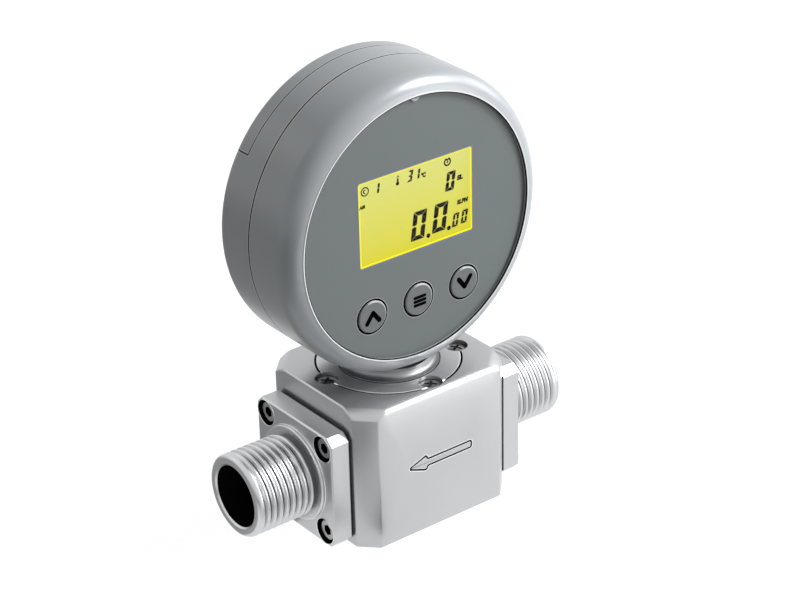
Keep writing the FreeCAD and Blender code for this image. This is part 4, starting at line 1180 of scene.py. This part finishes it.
@dataclass
class KeyPad:
    """The three round keys with their signs, and the switches behind them."""

    palette: Palette
    stroke: float = 1.2
    bar_stroke: float = 0.8
    hole: float = 4.35
    key_radius: float = 4.05
    edge: float = 0.45
    painted_highlight_start: float = -32.0
    painted_highlight_sweep: float = 140.0
    half_sign: float = 1.8
    raised: float = 0.04 * MM

    def centre(self, node: str) -> tuple[Point, float]:
        """Find a key's centre, in millimetres from the head's axis, and its front face.

        Args:
            node: The key's node.

        Returns:
            The centre, and the face's place along Y in metres.
        """
        low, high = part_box(node)
        return ((low.x + high.x) / 2.0 / MM, ((low.z + high.z) / 2.0 - head_axis()) / MM), low.y

    def chevron(self, name: str, body: Body, apex: float) -> None:
        """Draw a chevron on a key; apex is +1 upwards and -1 downwards."""
        (x, y), front = self.centre(body.value)
        art = FlatArt()
        for side in (-1.0, 1.0):
            art.bar((x, y + 1.05 * apex), (x + side * self.half_sign, y - 1.3 * apex), self.stroke)
        art.piece(name, front, self.raised, self.palette.ink_and_painted_shade, body)

    def bars(self, name: str, body: Body) -> None:
        """Draw the three bars of the menu key."""
        (x, y), front = self.centre(body.value)
        art = FlatArt()
        for level in (-1.3, -0.3, 0.7):
            art.bar((x - 1.4, y + level), (x + 1.65, y + level), self.bar_stroke)
        art.piece(name, front, self.raised, self.palette.ink_and_painted_shade, body)

    def rims(self) -> None:
        """Add painted shadow in and round each key's gap and on each key's side wall, a painted highlight round
        each hole, and a painted highlight and painted light on each key's rounded rim.
        """
        panel_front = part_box("face_panel")[0].y
        hole, key, full = self.hole, self.key_radius, 360.0
        gap, light = bmesh.new(), bmesh.new()
        for body in (Body.UP, Body.MENU, Body.DOWN):
            (x, y), front = self.centre(body.value)
            middle = Vector((x * MM, panel_front, head_axis() + y * MM))
            # Black in each key's gap and round its hole as painted shadow, and a light ring outside that as a
            # painted highlight.
            flat_ring(Y_AXIS, middle, (key + 0.04, hole - 0.01), (0.03, 0.3), gap)
            flat_ring(Y_AXIS, middle, (hole - 0.01, hole + 0.2), (-0.012, 0.1), gap)
            flat_ring(Y_AXIS, middle, (hole + 0.2, hole + 0.34), (-0.014, 0.1), light)
            middle.y = front
            # Black on the key's side wall: painted shade.
            sleeve = flat_ring(Y_AXIS, middle, (key - 0.02, key + 0.012), (self.edge - 0.08, self.edge + 0.6))
            piece_from(sleeve, f"{body.value}_wall", [self.palette.ink_and_painted_shade], body)
            # The rim's upper right part gets a painted highlight; the rest is lighter than the key as painted
            # light.
            rim = bmesh.new()
            self.skin(rim, middle, self.painted_highlight_start, self.painted_highlight_sweep, 0)
            self.skin(rim, middle, self.painted_highlight_start + self.painted_highlight_sweep, full - self.painted_highlight_sweep, 1)
            piece_from(rim, f"{body.value}_rim", [self.palette.rim, self.palette.key_rim_painted_light], body)
        piece_from(gap, "key_gap_lines", [self.palette.ink_and_painted_shade])
        piece_from(light, "key_hole_edges", [self.palette.rim])

    def skin(self, bm: Mesh, middle: Vector, start: float, sweep: float, paint: int) -> None:
        """Add a thin skin over a part of a key's rounded rim, which carries painted light.

        Args:
            bm: The mesh to add it to.
            middle: The middle of the key's front face.
            start: Where the part starts, in degrees from X towards Z.
            sweep: How far it runs.
            paint: The skin's material index.
        """
        centre = middle + Y_AXIS * (self.edge * MM)
        arm = X_AXIS * math.cos(math.radians(start)) + Z_AXIS * math.sin(math.radians(start))
        arc = [math.radians(angle) for angle in range(5, 81, 15)]
        verts = []
        for reach, angles in ((0.0, arc), (0.02, arc[::-1])):
            size = (self.edge + reach) * MM
            verts += [bm.verts.new(centre - Y_AXIS * (size * math.sin(angle))
                                   + arm * ((self.key_radius - self.edge) * MM + size * math.cos(angle)))
                      for angle in angles]
        face = bm.faces.new(verts)
        face.material_index = paint
        bmesh.ops.spin(bm, geom=[*verts, *face.edges, face], cent=centre, axis=-Y_AXIS,
                       angle=math.radians(sweep), steps=48)
        bmesh.ops.recalc_face_normals(bm, faces=bm.faces)

    def build(self) -> None:
        """Dress the keys and the switches and draw the signs."""
        dress(self.palette.key, "up_key", "menu_key", "down_key")
        dress(self.palette.switch, "up_switch", "menu_switch", "down_switch")
        self.rims()
        self.chevron("up_sign", Body.UP, 1.0)
        self.bars("menu_sign", Body.MENU)
        self.chevron("down_sign", Body.DOWN, -1.0)


@dataclass
class Electronics:
    """The main board and the battery pack."""

    palette: Palette

    def build(self) -> None:
        """Dress the board, the cells and their contacts."""
        dress(self.palette.board, "main_board")
        dress(self.palette.jacket, "upper_cell", "lower_cell")
        dress(self.palette.plated, "left_contacts", "right_contacts")


@dataclass(frozen=True)
class Lamp:
    """One soft box, aimed at the middle of the meter."""

    name: str
    toward: tuple[float, float, float]
    distance: float
    size: float
    power: float


@dataclass(frozen=True)
class Card:
    """A grey card on the floor that only reflections see, with its lowest and highest X and Y."""

    name: str
    corners: Corners
    shade: float


@dataclass
class Studio:
    """The camera, the lights, the pale floor and the dark cards that metal reflects."""

    azimuth: float = -37.367
    elevation: float = 27.385
    roll: float = -1.396
    distance: float = 596.405 * MM
    lens: float = 110.725
    target: Vector = field(default_factory=lambda: Vector((3.978 * MM, 0.0, 52.132 * MM)))
    ambient: float = 0.2
    floor_reach: float = 6.0
    floor_glow: float = 0.95
    card_height: float = 0.2 * MM
    lamps: tuple[Lamp, ...] = (
        Lamp("key_light", (0.62, -0.46, 0.64), 0.9, 0.34, 7.5),
        Lamp("side_light", (0.95, -0.1, 0.3), 0.9, 0.4, 1.6),
        Lamp("front_fill", (0.6, -0.78, 0.1), 0.9, 0.5, 2.6),
        Lamp("rim_light", (-0.46, 0.70, 0.54), 1.0, 0.3, 0.16),
    )
    cards: tuple[Card, ...] = (
        Card("left_card", (-900.0, -26.0, 3.0, 900.0), 0.38),
        Card("left_front_card", (-100.0, -28.0, -90.0, -24.0), 0.8),
        Card("far_card", (-900.0, -100.0, -900.0, 3.0), 0.12),
        Card("front_card", (-30.0, -16.0, -64.0, -27.0), 0.25),
    )

    def camera(self) -> None:
        """Place the camera at the photograph's angle."""
        azimuth, elevation, roll = (math.radians(angle) for angle in (self.azimuth, self.elevation, self.roll))
        turn = (Matrix.Rotation(azimuth, 4, "Z") @ Matrix.Rotation(math.pi / 2.0 - elevation, 4, "X")
                @ Matrix.Rotation(roll, 4, "Z"))
        data = bpy.data.cameras.new("camera")
        data.lens = self.lens
        data.sensor_width = 36.0
        data.clip_start = 0.01
        place = Matrix.Translation(self.target) @ turn @ Matrix.Translation(Z_AXIS * self.distance)
        bpy.context.scene.camera = put_in_scene("camera", data, place)

    def seen(self, nodes: Nodes) -> Socket:
        """Return 1 for camera, glossy and transmission rays and 0 for the rest."""
        path = nodes.add("ShaderNodeLightPath").outputs
        either = nodes.math("MAXIMUM", path["Is Camera Ray"], path["Is Glossy Ray"])
        return nodes.math("MAXIMUM", either, path["Is Transmission Ray"])

    def world(self) -> None:
        """Light softly from all round, with a white background."""
        world = bpy.data.worlds.new("studio")
        world.use_nodes = True
        bpy.context.scene.world = world
        nodes = Nodes(world.node_tree)
        background = world.node_tree.nodes["Background"].inputs
        nodes.put(background["Color"], WHITE)
        nodes.put(background["Strength"], nodes.spread(self.seen(nodes), self.ambient, 1.0))

    def lay(self, name: str, corners: Corners, height: float, material: Material) -> bpy.types.Object:
        """Lay a level sheet.

        Args:
            name: The sheet's name.
            corners: Its lowest and highest X and Y, in metres.
            height: How high it lies.
            material: Its material.

        Returns:
            The sheet.
        """
        left, right, front, back = corners
        bm = bmesh.new()
        bm.faces.new([bm.verts.new((x, y, height))
                      for x, y in ((left, front), (right, front), (right, back), (left, back))])
        mesh = bpy.data.meshes.new(name)
        bm.to_mesh(mesh)
        bm.free()
        mesh.materials.append(material)
        return put_in_scene(name, mesh)

    def floor(self) -> None:
        """Lay the pale floor, white to the camera apart from the shadow."""
        paint = Sheet("pale_floor")
        paint.tree.nodes.clear()
        lit = paint.add("ShaderNodeBsdfDiffuse", {"Color": (0.2, 0.2, 0.2, 1.0)}).outputs[0]
        plain = paint.add("ShaderNodeBsdfDiffuse", {"Color": (0.6, 0.6, 0.6, 1.0)}).outputs[0]
        glow = paint.add("ShaderNodeEmission", {"Color": WHITE, "Strength": self.floor_glow}).outputs[0]
        shown = paint.add("ShaderNodeAddShader", {0: lit, 1: glow}).outputs[0]
        mixed = paint.add("ShaderNodeMixShader", {0: self.seen(paint), 1: plain, 2: shown}).outputs[0]
        paint.add("ShaderNodeOutputMaterial", {"Surface": mixed})
        reach = self.floor_reach
        floor = self.lay("floor", (-reach, reach, -reach, reach), 0.0, paint.material)

    def lay_cards(self) -> None:
        """Lay the grey cards and hide them from all but reflections."""
        for size in self.cards:
            paint = Sheet(size.name)
            paint.set(Base_Color=(0.0, 0.0, 0.0, 1.0), Emission_Color=WHITE, Emission_Strength=size.shade,
                      Specular_IOR_Level=0.0)
            corners = tuple(place * MM for place in size.corners)
            card = self.lay(size.name, corners, self.card_height, paint.material)
            for ray in ("camera", "diffuse", "transmission", "shadow"):
                setattr(card, f"visible_{ray}", False)

    def lights(self) -> None:
        """Hang the soft boxes."""
        for lamp in self.lamps:
            data = bpy.data.lights.new(lamp.name, "AREA")
            data.shape = "DISK"
            data.size = lamp.size
            data.energy = lamp.power
            toward = Vector(lamp.toward).normalized()
            turn = toward.to_track_quat("Z", "Y").to_matrix().to_4x4()
            put_in_scene(lamp.name, data, Matrix.Translation(self.target + toward * lamp.distance) @ turn)

    def build(self) -> None:
        """Set up the whole studio."""
        self.camera()
        self.world()
        self.floor()
        self.lights()
        self.lay_cards()
        bpy.context.scene.view_settings.view_transform = "Standard"


def clear_start_scene() -> None:
    """Remove what was in the scene before the frame."""
    kept = {*frame["nodes"].values(), *frame["bodies"].values()}
    for leftover in [thing for thing in bpy.data.objects if thing not in kept]:
        bpy.data.objects.remove(leftover)


def main() -> None:
    """Build every piece of the meter and the studio round it."""
    logging.basicConfig(level=logging.INFO, format="%(message)s")
    clear_start_scene()
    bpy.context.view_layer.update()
    palette = Palette()
    FlowBlock(palette).build()
    PipeAdapter("inlet", 1.0, palette).build()
    PipeAdapter("outlet", -1.0, palette).build()
    SensorInsert(palette).build()
    DisplayHead(palette).build()
    FacePanel(palette).build()
    KeyPad(palette).build()
    Electronics(palette).build()
    Studio().build()


if __name__ == "__main__":
    main()
